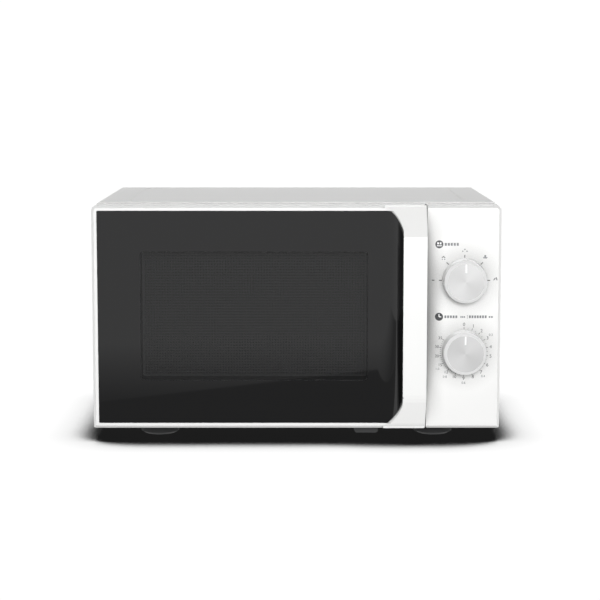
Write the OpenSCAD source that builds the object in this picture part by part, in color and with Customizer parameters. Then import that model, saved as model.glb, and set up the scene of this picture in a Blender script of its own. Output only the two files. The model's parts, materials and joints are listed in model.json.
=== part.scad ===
// Countertop microwave oven with a side-hinged door and two rotary controls.
// The front faces -Y, +Z is up, and the origin is on the table under the middle of the oven.

/* [Body] */
// Width across the door and the control panel
body_w = 439.5; // [420:0.5:560]
// Height from the table to the top of the cover
body_h = 258.2; // [245:0.1:320]
// Length of the steel cover behind the front
cover_d = 270; // [262:1:340]
// Depth of the door and the control panel
front_d = 39; // [37:0.5:48]
// Height of the front's lower edge above the table
ground_gap = 15.5; // [13:0.5:20]
// Thickness of the sheet steel
sheet = 0.8; // [0.6:0.1:1.2]
// Width of the bevel round the front
bevel = 2.7; // [1.5:0.1:4]
// Radius of the upper corners of the front
corner_r = 6.5; // [3:0.5:9]
// Radius of the cover's long top edges
cover_r = 5.5; // [2:0.5:8]
// How far the rear bulge stands out of the back
bulge_d = 9; // [5:1:15]

/* [Door] */
// Width of the control panel
panel_w = 79.6; // [76:0.1:96]
// Gap between the door and the control panel
door_gap = 0.9; // [0.6:0.1:1.5]
// Wall of the moulded door and panel
wall = 2.6; // [2:0.1:3.5]
// Width of the vertical handle bar
handle_w = 25.2; // [22:0.1:32]
// How far the handle stands out of the door
handle_out = 19; // [12:0.5:26]
// Width of the concave sweep from the black panel up to the handle
sweep_w = 26; // [18:0.5:34]
// Height of the handle's upper ramp
ramp_top = 32.5; // [20:0.5:50]
// Height of the handle's lower ramp
ramp_low = 35; // [20:0.5:50]
// White border at the left of the black door panel
border = 5.9; // [4:0.1:12]
// White border above and below the black door panel
border_z = 5.7; // [4:0.1:12]
// Width of the see-through window
window_w = 244.3; // [180:0.1:260]
// Height of the see-through window
window_h = 139; // [100:0.5:160]

/* [Cavity] */
// Room under the cavity floor
floor_room = 26; // [24:1:40]
// Room over the cavity roof
roof_room = 16; // [12:1:30]
// Width of the electrical bay beside the cavity
bay_w = 105; // [103:1:130]
// Room at the left of the cavity
side_room = 17; // [12:1:30]
// Diameter of the glass turntable
table_d = 245; // [200:1:255]
// Diameter of the circle that the rollers run on
track_d = 176; // [140:1:190]
// Diameter of a turntable roller
roller_d = 14; // [12:1:17]

/* [Controls] */
// Diameter of a knob at its base
knob_d = 47; // [38:0.5:52]
// Diameter of a knob's flat face
face_d = 39; // [30:0.5:44]
// How far a knob stands out of the panel
knob_out = 20; // [14:0.5:26]
// Distance between the two knobs
knob_pitch = 77.2; // [60:0.1:90]
// Height of the upper knob above the front's lower edge
knob_rise = 161.1; // [140:0.1:180]
// Widest part of the finger scoop beside the handle
scoop_w = 21; // [12:0.5:26]
// Depth of the finger scoop
scoop_depth = 8; // [4:0.5:10]
// Diameter of a knob's shaft
shaft_d = 6; // [5:0.1:8]

/* [Works] */
// Diameter of the cooling fan's blades
fan_d = 84; // [60:1:88]
// Diameter of a hinge pin
pin_d = 5; // [4:0.1:7]
// Travel of the door latch
latch_travel = 4; // [2:0.5:5]
// Travel of a switch plunger
plunger_travel = 1.5; // [1:0.1:2]
// Distance between the two front feet
foot_pitch = 302; // [240:1:340]
// Radius clearance of every turning shaft
run_fit = 0.05; // [0.03:0.01:0.1]
// Gap between parts that are assembled with room
gap = 0.3; // [0.2:0.05:0.5]

/* [Hidden] */
$fn = 48;
eps = 0.01;

// Overall frame
overall_d = knob_out + front_d + cover_d + bulge_d;
front_y = -overall_d / 2 + knob_out;
plate_y = front_y + front_d;
back_y = plate_y + cover_d;
half_w = body_w / 2;
front_h = body_h - 1 - ground_gap;
front_top = ground_gap + front_h;
cover_half = half_w - 0.5;
inner_half = cover_half - sheet;
base_z = ground_gap + 1.4;
base_top = base_z + sheet;

// Where the door ends and the handle starts
split_x = half_w - panel_w;
door_x1 = split_x - door_gap;
handle_x0 = door_x1 - handle_w;

// Cavity, clear of the bay and closed by the door's inner plate
cav_x0 = -inner_half + side_room;
cav_x1 = min(inner_half - bay_w - 2 * sheet, handle_x0 - 2.2);
cav_w = cav_x1 - cav_x0;
cav_x = (cav_x0 + cav_x1) / 2;
cav_z0 = base_top + floor_room;
cav_z1 = body_h - sheet - roof_room;
cav_back = back_y - 2 * sheet - 1;
cav_y = (plate_y + cav_back) / 2;
cav_r = 6;
bulge_w = cav_w * 0.72;
bulge_h = (cav_z1 - cav_z0) * 0.62;
bulge_z = (cav_z0 + cav_z1) / 2;

// Door
door_back = plate_y - 0.5;
hinge_in = 9;
hinge_fwd = 12;
hinge_x = -half_w + hinge_in;
hinge_y = plate_y - 0.5 - hinge_fwd;
tongue_t = 2;
tongue_up = front_top - 16;
tongue_low = ground_gap + 14;
pin_l = 8;
black_x0 = -half_w + border;
black_z0 = ground_gap + border_z;
black_z1 = front_top - border_z;
black_t = 2.4;
skin_t = 1.6;
sweep_r = (pow(sweep_w, 2) + pow(handle_out, 2)) / (2 * handle_out);
window_x = cav_x - 0.8;
window_z = bulge_z - 4.8;
inner_x0 = -half_w + 2 * hinge_in + 2;
inner_x1 = handle_x0 - 1;
inner_z0 = ground_gap + 8;
inner_z1 = front_top - 8;
choke_d = 14;
screen_y = door_back - 10;

// Bay and drives
bay_x0 = cav_x1 + sheet;
bay_x1 = inner_half;
hook_x = (handle_x0 + door_x1) / 2;
hook_t = 4;
hook_z = [front_top - 48, ground_gap + 48];
latch_reach = 24;
board_x0 = bay_x0 + 1.5;
knob_x = half_w - panel_w / 2 + 0.6;
knob_z = [ground_gap + knob_rise, ground_gap + knob_rise - knob_pitch];
unit_y = front_y + scoop_depth + 4 + gap;
unit_d = 26;
axle_d = 4;
tray_z = cav_z0 + roller_d + 2 * gap;
tray_t = 4;
ring_z = cav_z0 + roller_d / 2 + gap;
coupler_d = 40;
motor_h = 17;
fan_x = bay_x0 + bay_w / 2 - 0.5;
fan_z = body_h - 62;
fan_y = back_y - 34;
mag_z = bulge_z + 14;
mag_y = plate_y + 130;
mag_half_y = 38;
mag_half_z = 30;
guide_d = 24;
guide_x1 = bay_x0 + guide_d;
plug_y = plate_y + latch_reach + 1.8;
switch_y = plug_y + 3;
duct_y = [switch_y + 18, mag_y - mag_half_y - 0.3];

// ---------- shared shapes ----------

// Rectangle with round corners, centred
module round_rect(w, h, r) {
    square([w - 2 * r, h], center = true);
    square([w, h - 2 * r], center = true);
    for (x = [-1, 1], y = [-1, 1])
        translate([x * (w / 2 - r), y * (h / 2 - r)]) circle(r);
}

// Round-cornered slab standing in the XZ plane, from y0 to y1
module upright(x0, x1, z0, z1, y0, y1, r) {
    translate([(x0 + x1) / 2, y1, (z0 + z1) / 2])
        rotate([90, 0, 0])
            linear_extrude(y1 - y0) round_rect(x1 - x0, z1 - z0, r);
}

// Box given by its two corners
module box(a, b) {
    translate(a) cube(b - a);
}

// Cylinder along Y from y0 to y1
module rod_y(x, z, y0, y1, r, r2 = 0) {
    translate([x, y1, z]) rotate([90, 0, 0])
        cylinder(h = y1 - y0, r1 = r2 > 0 ? r2 : r, r2 = r);
}

// Cylinder along X from x0 to x1
module rod_x(y, z, x0, x1, r) {
    translate([x0, y, z]) rotate([0, 90, 0]) cylinder(h = x1 - x0, r = r);
}

// Cylinder along Z from z0 to z1
module rod_z(x, y, z0, z1, r) {
    translate([x, y, z0]) cylinder(h = z1 - z0, r = r);
}

// Wedge that bevels the lower front edge of a front piece between x0 and x1
module bevel_low(x0, x1) {
    translate([x0, front_y, ground_gap]) rotate([90, 0, 90])
        linear_extrude(x1 - x0) polygon([[-1, -1], [bevel, -1], [bevel, 0], [0, bevel], [-1, bevel]]);
}

// The same wedge for the upper front edge
module bevel_high(x0, x1) {
    translate([0, 0, 2 * ground_gap + front_h]) mirror([0, 0, 1]) bevel_low(x0, x1);
}

// Wedge that bevels an upright front edge at x; side is -1 for a left edge
module bevel_side(x, side) {
    translate([x, front_y, ground_gap - 1])
        linear_extrude(front_h + 2)
            polygon([[side, -1], [-side * bevel, -1], [-side * bevel, 0], [0, bevel], [side, bevel]]);
}

// Corner filler that rounds an upper corner of the front, with its bevel carried round
module round_corner(x, side) {
    cx = x - side * corner_r;
    cz = front_top - corner_r;
    difference() {
        box([min(cx, x + side), front_y - 1, cz], [max(cx, x + side), plate_y + 1, front_top + 1]);
        rod_y(cx, cz, front_y - 1, plate_y + 2, corner_r);
    }
    difference() {
        box([min(cx, x), front_y - 0.5, cz], [max(cx, x), front_y + bevel, front_top]);
        rod_y(cx, cz, front_y - 1, front_y + bevel + 0.1, corner_r - bevel - 1, corner_r + 0.1);
    }
}

// Side view of the door and handle as (depth, height), extruded along X
module handle_profile(x0, x1, inset = 0) {
    top = front_top - inset;
    low = ground_gap + inset;
    out = front_y - handle_out + inset;
    translate([x0, 0, 0]) rotate([90, 0, 90])
        linear_extrude(x1 - x0)
            polygon([[front_y + bevel, top], [front_y, top - bevel * 0.4],
                [out, front_top - ramp_top], [out, ground_gap + ramp_low + 4],
                [out + 0.7, ground_gap + ramp_low], [out + 2.2, ground_gap + ramp_low - 4],
                [front_y, low + bevel * 0.8], [front_y + bevel, low]]);
}

// Hollow of the concave sweep beside the handle; extra is how much it is enlarged
module sweep_hollow(z0, z1, extra) {
    translate([handle_x0 - sweep_w, front_y, z0])
        linear_extrude(z1 - z0) difference() {
            translate([-8, -handle_out - 4]) square([sweep_w + 8, handle_out + 4]);
            difference() {
                translate([0, -handle_out - 5]) square([sweep_w + 9, handle_out + 6]);
                translate([0, -sweep_r]) circle(sweep_r + extra, $fn = 160);
            }
        }
}

// ---------- cabinet ----------

// Rounded outline of the cover, seen from the front
module cover_outline(half, top, r) {
    translate([-half, ground_gap + 0.5]) square([2 * half, top - ground_gap - 0.5 - r]);
    translate([-half + r, ground_gap + 0.5]) square([2 * (half - r), top - ground_gap - 0.5]);
    for (s = [-1, 1]) translate([s * (half - r), top - r]) circle(r);
}

// Row of upright vent slots cut through along X
module side_slots(x0, x1, y0, z0, count, pitch) {
    for (i = [0:count - 1])
        box([x0, y0 + i * pitch, z0], [x1, y0 + i * pitch + 3, z0 + 26]);
}

module outer_cover() {
    panel_x = inner_half * 0.85;
    color("white") difference() {
        translate([0, back_y, 0]) rotate([90, 0, 0])
            linear_extrude(cover_d) cover_outline(cover_half, body_h, cover_r);
        translate([0, back_y - sheet, 0]) rotate([90, 0, 0])
            linear_extrude(cover_d) cover_outline(inner_half, body_h - sheet, cover_r - sheet);
        // Rear opening inside a folded flange
        box([-inner_half + 10, back_y - 2, 0], [inner_half - 10, back_y + 1, body_h - 11]);
        // Shallow rectangle pressed into the top
        translate([0, plate_y + cover_d / 2 + 2, body_h - 0.35])
            linear_extrude(1) difference() {
                round_rect(2 * panel_x, cover_d - 30, 14);
                round_rect(2 * panel_x - 5, cover_d - 35, 12);
            }
        for (z = [ground_gap + 44, ground_gap + 80])
            side_slots(inner_half - 1, cover_half + 1, plate_y + 60, z, 14, 7);
        side_slots(-cover_half - 1, -inner_half + 1, plate_y + 150, ground_gap + 150, 12, 7);
        cover_screw_holes(1.6);
    }
}

// Places of the screws through the cover's rear flange
function cover_screw_at() = [[-inner_half + 5, body_h - 20], [inner_half - 5, body_h - 20],
    [-inner_half + 5, ground_gap + 30], [inner_half - 5, ground_gap + 30], [0, body_h - 6]];

module cover_screw_holes(r) {
    for (p = cover_screw_at()) rod_y(p[0], p[1], back_y - 4, back_y + 1, r);
}

// Flat panel that fills the cover, between y0 and y1
module bulkhead(y0, y1) {
    intersection() {
        translate([0, y1, 0]) rotate([90, 0, 0])
            linear_extrude(y1 - y0) cover_outline(inner_half - 0.1, body_h - sheet - 0.1, cover_r - sheet);
        box([-body_w, y0 - 1, base_top + 0.1], [body_w, y1 + 1, body_h]);
    }
}

module front_plate() {
    color("whitesmoke") difference() {
        bulkhead(plate_y, plate_y + sheet);
        upright(cav_x0, cav_x1, cav_z0, cav_z1, plate_y - 1, plate_y + 2, cav_r);
        // Slots for the two latch hooks
        for (z = hook_z)
            box([hook_x - 8, plate_y - 1, z - 10], [hook_x + 8, plate_y + 2, z + 10 + latch_travel]);
        // Way through for the leads of the controls
        box([split_x + 12, plate_y - 1, ground_gap + 50], [half_w - 14, plate_y + 2, front_top - 40]);
    }
}

module cavity_shell() {
    y0 = plate_y + sheet;
    color("gainsboro") difference() {
        union() {
            upright(cav_x0 - sheet, cav_x1 + sheet, cav_z0 - sheet, cav_z1 + sheet, y0, cav_back,
                cav_r + sheet);
            upright(cav_x - bulge_w / 2, cav_x + bulge_w / 2, bulge_z - bulge_h / 2,
                bulge_z + bulge_h / 2, cav_back - 1, back_y + bulge_d - 2 * sheet, 12);
        }
        upright(cav_x0, cav_x1, cav_z0, cav_z1, y0 - 1, cav_back - sheet, cav_r);
        upright(cav_x - bulge_w / 2 + sheet, cav_x + bulge_w / 2 - sheet,
            bulge_z - bulge_h / 2 + sheet, bulge_z + bulge_h / 2 - sheet, cav_back - 3,
            back_y + bulge_d - 3 * sheet, 12 - sheet);
        // Shaft hole of the turntable
        rod_z(cav_x, cav_y, cav_z0 - 3, cav_z0 + 3, 7);
        // Window of the waveguide
        box([cav_x1 - 1, mag_y - 26, mag_z - 22], [cav_x1 + 3, mag_y + 26, mag_z + 22]);
        // Air inlet and lamp holes, and the steam outlet on the left wall
        for (i = [0:4], j = [0:3])
            rod_x(duct_y[0] + 8 + i * 6, cav_z1 - 26 - j * 6, cav_x1 - 1, cav_x1 + 3, 1.8);
        for (i = [0:7], j = [0:2])
            rod_x(plate_y + 170 + i * 6, cav_z1 - 26 - j * 6, cav_x0 - 3, cav_x0 + 1, 1.8);
    }
}

module back_plate() {
    y1 = back_y - sheet - 0.05;
    color("silver") difference() {
        union() {
            bulkhead(y1 - sheet, y1);
            upright(cav_x - bulge_w / 2 - 1.2, cav_x + bulge_w / 2 + 1.2,
                bulge_z - bulge_h / 2 - 1.2, bulge_z + bulge_h / 2 + 1.2, y1 - sheet,
                back_y + bulge_d, 13);
        }
        upright(cav_x - bulge_w / 2 - 0.4, cav_x + bulge_w / 2 + 0.4,
            bulge_z - bulge_h / 2 - 0.4, bulge_z + bulge_h / 2 + 0.4, y1 - 2,
            back_y + bulge_d - sheet - 0.4, 12.4);
        cover_screw_holes(1.6);
        // Slots in front of the fan
        for (i = [-6:6]) {
            reach = sqrt(pow(fan_d / 2, 2) - pow(i * 6.4, 2));
            box([fan_x - reach, y1 - 3, fan_z + i * 6.4 - 1.6],
                [fan_x + reach, y1 + 3, fan_z + i * 6.4 + 1.6]);
        }
        rod_y(bay_x1 - 26, ground_gap + 34, y1 - 3, y1 + 3, 6.2);
    }
}

// Middle lines of the front and the rear feet
foot_y = [plate_y + 9, back_y - 24];
foot_r = 21;
foot_neck_r = 8;
foot_top = ground_gap - 1.5;
pan_depth = 14.5;
pan_w = 26;
pan_x1 = min(split_x - 50, foot_pitch / 2 - foot_r - 3);
pan_x0 = pan_x1 - pan_w;

module base_plate() {
    color("silver") difference() {
        union() {
            box([-inner_half + 0.1, plate_y + 0.1, base_z], [inner_half - 0.1, back_y - 2 * sheet - 0.2, base_top]);
            // Pressed pan under the front of the electrical bay
            upright(pan_x0, pan_x1, base_z - pan_depth, base_z + 0.2, plate_y + 3, plate_y + 60, 3);
        }
        box([pan_x0 + 1, plate_y + 4, base_z - pan_depth + 1], [pan_x1 - 1, plate_y + 59, base_top + 1]);
        for (i = [0:11])
            box([bay_x0 + 20, plate_y + 96 + i * 8, base_z - 1], [bay_x1 - 20, plate_y + 99.5 + i * 8, base_top + 1]);
        rod_z(cav_x, cav_y, base_z - 1, base_top + 1, 12);
        for (x = [-1, 1], y = foot_y)
            rod_z(x * foot_pitch / 2, y, base_z - 1, base_top + 1, 2.2);
    }
}

// One moulded foot: a small pad under a wide bevelled disc, a neck and a plug through the base
module foot(x, y) {
    rod_z(x, y, 0, 3, 6);
    translate([x, y, 2.2]) cylinder(h = 2.8, r1 = foot_r - 5, r2 = foot_r);
    rod_z(x, y, 5, foot_top, foot_r);
    rod_z(x, y, foot_top, base_z, foot_neck_r);
    rod_z(x, y, base_z, base_top, 2.1);
}

module front_feet() {
    color("dimgray") for (s = [-1, 1]) foot(s * foot_pitch / 2, foot_y[0]);
}

module rear_feet() {
    color("dimgray") for (s = [-1, 1]) foot(s * foot_pitch / 2, foot_y[1]);
}

// ---------- control panel ----------

// Finger scoop: a ring-shaped cut that rolls off towards the door
module scoop() {
    chord = front_h * 0.93;
    ring_r = (pow(chord / 2, 2) + pow(scoop_w, 2)) / (2 * scoop_w);
    roll_r = (pow(scoop_w, 2) + pow(scoop_depth, 2)) / (2 * scoop_depth);
    translate([split_x + scoop_w - ring_r, front_y, ground_gap + front_h / 2])
        rotate([90, 0, 0]) rotate_extrude($fn = 360)
            translate([ring_r, 0]) difference() {
                translate([-scoop_w - 8, -scoop_depth - 2]) square([scoop_w + 8, scoop_depth + 6]);
                translate([0, -roll_r]) circle(roll_r, $fn = 200);
            }
}

module control_panel() {
    hollow_x = split_x + scoop_w + 5;
    color("white") difference() {
        upright(split_x, half_w, ground_gap, front_top, front_y, plate_y - 0.05, 2);
        bevel_low(split_x - 1, half_w + 1);
        bevel_high(split_x - 1, half_w + 1);
        bevel_side(half_w, 1);
        round_corner(half_w, 1);
        scoop();
        box([hollow_x, front_y + wall, ground_gap + wall], [half_w - wall, plate_y + 1, front_top - wall]);
        box([split_x + wall, front_y + scoop_depth + 4, ground_gap + wall],
            [hollow_x + 1, plate_y + 1, front_top - wall]);
        for (z = knob_z) rod_y(knob_x, z, front_y - 1, front_y + wall + 1, shaft_d / 2 + 1.5);
    }
}

// Knob body with a bevelled rim, hollow behind, with a hub on the shaft
module knob_body(z) {
    y0 = front_y - knob_out;
    r = knob_d / 2;
    color("whitesmoke") difference() {
        union() {
            rod_y(knob_x, z, y0 + 3, front_y - 0.8, r - 0.7, r);
            rod_y(knob_x, z, y0, y0 + 3, face_d / 2 + 0.3, r - 0.7);
        }
        rod_y(knob_x, z, y0 - 1, y0 + 0.8, face_d / 2);
        difference() {
            rod_y(knob_x, z, y0 + 5.6, front_y, r - 3);
            rod_y(knob_x, z, y0 + 5, front_y, shaft_d / 2 + 2.5);
        }
        rod_y(knob_x, z, y0 + 4, front_y, shaft_d / 2);
    }
}

// Spun metal disc set into a knob's face
module knob_disc(z) {
    color("silver") rod_y(knob_x, z, front_y - knob_out + 0.1, front_y - knob_out + 0.8, face_d / 2 - 0.05);
}

module power_knob() { knob_body(knob_z[0]); }
module timer_knob() { knob_body(knob_z[1]); }
module power_knob_cap() { knob_disc(knob_z[0]); }
module timer_knob_cap() { knob_disc(knob_z[1]); }

// Knob shaft from the knob's hub into the unit behind the panel
module control_shaft(z) {
    color("lightgray") {
        rod_y(knob_x, z, front_y - knob_out + 4.2, unit_y + 12, shaft_d / 2);
    }
}

module power_shaft() { control_shaft(knob_z[0]); }
module timer_shaft() { control_shaft(knob_z[1]); }

// Housing behind the panel, with the bearing of one shaft
module control_unit(z, w, h) {
    difference() {
        upright(knob_x - w / 2, knob_x + w / 2, z - h / 2, z + h / 2, unit_y, unit_y + unit_d, 3);
        rod_y(knob_x, z, unit_y - 1, unit_y + 12.5, shaft_d / 2 + run_fit);
    }
}

module power_selector() { color("lightgray") control_unit(knob_z[0], 44, 40); }

module timer_unit() {
    color("ivory") control_unit(knob_z[1], 50, 52);
}

module timer_bell() {
    y0 = unit_y + unit_d + 0.05;
    color("silver") difference() {
        rod_y(knob_x, knob_z[1], y0, y0 + 4.5, 14, 17);
        rod_y(knob_x, knob_z[1], y0 + 0.8, y0 + 5, 13, 16);
    }
}

// ---------- door ----------

// Room that the fixed hinge tongues sweep in the door
module tongue_room() {
    for (z = [tongue_up, tongue_low])
        box([hinge_x - hinge_in - 2, hinge_y - 9, z - 0.8],
            [hinge_x + 9.5, plate_y + 1, z + tongue_t + 0.8]);
}

// Bores for the hinge pins; the upper pin points up and the lower one down
module pin_bores() {
    rod_z(hinge_x, hinge_y, tongue_up + tongue_t, tongue_up + tongue_t + pin_l + 1, pin_d / 2 + run_fit);
    rod_z(hinge_x, hinge_y, tongue_low - pin_l - 1, tongue_low, pin_d / 2 + run_fit);
}

module door_frame() {
    color("white") difference() {
        union() {
            difference() {
                union() {
                    upright(-half_w, door_x1, ground_gap, front_top, front_y, door_back, 2);
                    difference() {
                        handle_profile(handle_x0 - sweep_w, door_x1);
                        sweep_hollow(0, body_h, 0);
                        sweep_hollow(black_z0, black_z1, skin_t + 0.1);
                    }
                }
                bevel_low(-half_w - 1, handle_x0 - sweep_w + 6);
                bevel_high(-half_w - 1, handle_x0 - sweep_w + 6);
                bevel_side(-half_w, -1);
                // Hollow behind the face
                box([-half_w + wall, front_y + black_t + 1.6, ground_gap + wall],
                    [handle_x0 - 0.2, plate_y + 1, front_top - wall]);
                // Hollow in the handle
                intersection() {
                    handle_profile(handle_x0 + wall, door_x1 - wall, wall);
                    box([handle_x0, front_y - handle_out, ground_gap + 12],
                        [door_x1, front_y + 10, front_top - 12]);
                }
                box([handle_x0 + wall, front_y + 2, ground_gap + wall],
                    [door_x1 - wall, plate_y + 1, front_top - wall]);
                // Seat of the black panel, and the opening behind the window
                box([black_x0, front_y - 1, black_z0], [handle_x0 - 0.01, front_y + black_t, black_z1]);
                box([window_x - window_w / 2 - 6, front_y, window_z - window_h / 2 - 6],
                    [window_x + window_w / 2 + 6, plate_y, window_z + window_h / 2 + 6]);
            }
            // Solid hinge blocks
            box([-half_w + 1, front_y + black_t + 1, front_top - 34],
                [hinge_x + 11, door_back, front_top - 1]);
            box([-half_w + 1, front_y + black_t + 1, ground_gap + 1],
                [hinge_x + 11, door_back, ground_gap + 34]);
        }
        round_corner(-half_w, -1);
        tongue_room();
        pin_bores();
        // Rear left edge rounded about the hinge axis
        difference() {
            box([-half_w - 1, hinge_y, 0], [hinge_x, plate_y + 1, body_h]);
            rod_z(hinge_x, hinge_y, 0, body_h, hinge_fwd);
        }
    }
}

module door_panel() {
    color("black") union() {
        upright(black_x0 + 0.2, handle_x0 - 0.3, black_z0 + 0.2, black_z1 - 0.2,
            front_y - 0.2, front_y + black_t - 0.1, 2);
        // Skin of the concave sweep, as high as the handle there
        intersection() {
            difference() {
                box([handle_x0 - sweep_w, front_y - handle_out, black_z0 + 0.2],
                    [handle_x0 - 0.1, front_y + 0.1, black_z1 - 0.2]);
                sweep_hollow(0, body_h, 0);
                translate([handle_x0 - sweep_w, front_y - sweep_r, 0]) difference() {
                    translate([0, -sweep_r * 2, 0]) cube([sweep_w * 2, sweep_r * 4, body_h]);
                    translate([0, 0, -1]) cylinder(h = body_h + 2, r = sweep_r + skin_t, $fn = 160);
                }
            }
            handle_profile(handle_x0 - sweep_w - 1, handle_x0, 0.1);
        }
    }
}

module door_inner_plate() {
    y0 = screen_y - 2.4;
    color("lightgray") difference() {
        upright(inner_x0, inner_x1, inner_z0, inner_z1, y0, door_back - 2.6, 4);
        // Channel of the choke, open to the rear
        difference() {
            upright(inner_x0 + sheet, inner_x1 - sheet, inner_z0 + sheet, inner_z1 - sheet,
                y0 + sheet, door_back, 3);
            upright(inner_x0 + choke_d, inner_x1 - choke_d, inner_z0 + choke_d, inner_z1 - choke_d,
                y0, door_back, 5);
        }
        upright(inner_x0 + choke_d + sheet, inner_x1 - choke_d - sheet, inner_z0 + choke_d + sheet,
            inner_z1 - choke_d - sheet, y0 + sheet, door_back, 4);
        upright(window_x - window_w / 2, window_x + window_w / 2, window_z - window_h / 2,
            window_z + window_h / 2, y0 - 1, door_back, 3);
    }
}

module door_screen() {
    y0 = screen_y - 2.4 + sheet;
    color("dimgray") upright(window_x - window_w / 2 - 5, window_x + window_w / 2 + 5,
        window_z - window_h / 2 - 5, window_z + window_h / 2 + 5, y0, y0 + 0.5, 4);
}

module choke_cover() {
    color("darkslategray") difference() {
        upright(inner_x0, inner_x1, inner_z0, inner_z1, door_back - 2.5, door_back - 0.1, 4);
        upright(inner_x0 + choke_d + 1, inner_x1 - choke_d - 1, inner_z0 + choke_d + 1,
            inner_z1 - choke_d - 1, plate_y - 10, plate_y, 4);
    }
}

module inner_film() {
    color("lightcyan") upright(inner_x0 + choke_d + 1.2, inner_x1 - choke_d - 1.2,
        inner_z0 + choke_d + 1.2, inner_z1 - choke_d - 1.2, screen_y + 0.2, screen_y + 0.9, 4);
}

// Two rear-facing hooks on one upright bar, sprung down inside the handle
module latch_hooks() {
    y0 = front_y + 14;
    color("ivory") {
        box([hook_x - hook_t / 2, y0, hook_z[1] - 16], [hook_x + hook_t / 2, y0 + 9, hook_z[0] + 10]);
        for (z = hook_z)
            translate([hook_x - hook_t / 2, 0, 0]) rotate([90, 0, 90])
                linear_extrude(hook_t)
                    polygon([[y0 + 8, z + 5], [plate_y + latch_reach - 5, z + 5],
                        [plate_y + latch_reach, z], [plate_y + latch_reach - 5, z - 6],
                        [plate_y + latch_reach - 9, z - 6], [plate_y + latch_reach - 9, z - 2],
                        [y0 + 8, z - 4]]);
    }
}

spring_r = 3.2;
spring_wire = 0.5;

// Return spring under the top of the handle, above the latch bar
module latch_spring() {
    z0 = hook_z[0] + 10.1;
    length = front_top - wall - 0.1 - z0;
    turns = floor((length - latch_travel) / (2 * spring_wire) * 0.3);
    pitch = (length - 2 * spring_wire) / (turns - 1);
    color("silver") translate([hook_x, front_y + 18.5, z0 + spring_wire])
        for (i = [0:turns - 1]) translate([0, 0, i * pitch])
            rotate_extrude() translate([spring_r, 0]) circle(spring_wire);
    color("silver") rod_z(hook_x, front_y + 18.5 + spring_r, z0 + spring_wire,
        z0 + spring_wire + (turns - 1) * pitch, spring_wire * 0.8);
}

// Hinge tongue fixed to the front plate, with its upright pin
module hinge(z, up) {
    color("silver") {
        box([hinge_x - 6, hinge_y, z], [hinge_x + 6, plate_y - 0.02, z + tongue_t]);
        rod_z(hinge_x, hinge_y, z, z + tongue_t, 6);
        if (up)
            rod_z(hinge_x, hinge_y, z + 1, z + tongue_t + pin_l, pin_d / 2);
        else
            rod_z(hinge_x, hinge_y, z - pin_l, z + 1, pin_d / 2);
        box([hinge_x - 6, plate_y - 0.02, z - 7], [hinge_x + 6, plate_y, z + tongue_t + 7]);
    }
}

module upper_hinge() { hinge(tongue_up, true); }
module lower_hinge() { hinge(tongue_low, false); }

// ---------- door switches ----------

switch_z = [hook_z[0] - 1, hook_z[1] + 22, hook_z[1] - 1];

module interlock_board() {
    x0 = hook_x + 9;
    color("ivory") difference() {
        union() {
            box([x0, plate_y + sheet + 0.1, hook_z[1] - 26], [x0 + 3, switch_y + 16, hook_z[0] + 26]);
            box([hook_x - 9, plate_y + sheet + 0.1, hook_z[1] - 26],
                [x0 + 1, plate_y + sheet + 3, hook_z[0] + 26]);
            // Ledges that the hooks catch
            for (z = hook_z)
                box([hook_x - 8, plate_y + sheet + 1, z - 14], [x0 + 1, plate_y + 13, z - 7]);
            // Shelves that carry the switches
            for (z = switch_z)
                box([hook_x - 5, switch_y + 0.2, z - 13], [x0 + 1, switch_y + 12, z - 10.1]);
        }
        for (z = hook_z)
            box([hook_x - 7, plate_y, z - 6.8], [hook_x + 7, plate_y + 6, z + 10 + latch_travel]);
    }
}

module door_switches() {
    color("dimgray") for (z = switch_z)
        difference() {
            box([hook_x - 3.2, switch_y, z - 10], [hook_x + 3.2, switch_y + 16, z + 10]);
            rod_y(hook_x, z, switch_y - 1, switch_y + 6, 1.8 + run_fit);
        }
}

// Sprung plunger of a door switch
module plunger(z) {
    color("crimson") rod_y(hook_x, z, plug_y, switch_y + 6 - plunger_travel - 1, 1.8);
}

module upper_plunger() { plunger(switch_z[0]); }
module middle_plunger() { plunger(switch_z[1]); }
module lower_plunger() { plunger(switch_z[2]); }

// ---------- microwave works ----------

yoke_x1 = guide_x1 + 46;
filter_x1 = yoke_x1 + 20;
anode_r = 17;

module waveguide() {
    color("silver") difference() {
        box([bay_x0, mag_y - 38, mag_z - 30], [guide_x1, mag_y + 38, mag_z + 30]);
        box([bay_x0 - 1, mag_y - 38 + sheet, mag_z - 30 + sheet],
            [guide_x1 - sheet, mag_y + 38 - sheet, mag_z + 30 - sheet]);
        rod_x(mag_y, mag_z, guide_x1 - 2, guide_x1 + 1, 9.5);
    }
}

module waveguide_cover() {
    color("burlywood") box([cav_x1 - 0.7, mag_y - 33, mag_z - 28], [cav_x1 - 0.1, mag_y + 33, mag_z + 28]);
}

module magnetron_yoke() {
    color("silver") {
        difference() {
            box([guide_x1, mag_y - mag_half_y, mag_z - mag_half_z],
                [yoke_x1, mag_y + mag_half_y, mag_z + mag_half_z]);
            box([guide_x1 + 1.5, mag_y - mag_half_y - 1, mag_z - mag_half_z + 1.5],
                [yoke_x1 - 1.5, mag_y + mag_half_y + 1, mag_z + mag_half_z - 1.5]);
            rod_x(mag_y, mag_z, guide_x1 - 1, guide_x1 + 3, 9.5);
        }
        // Ring magnets at both ends of the anode
        for (x = [guide_x1 + 1.5, yoke_x1 - 1.5 - 8]) difference() {
            rod_x(mag_y, mag_z, x, x + 8, 26);
            rod_x(mag_y, mag_z, x - 1, x + 9, 10);
        }
    }
    // Box of the filter behind the tube
    color("gainsboro") box([yoke_x1, mag_y - 28, mag_z - 26], [filter_x1, mag_y + 28, mag_z + 26]);
}

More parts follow.
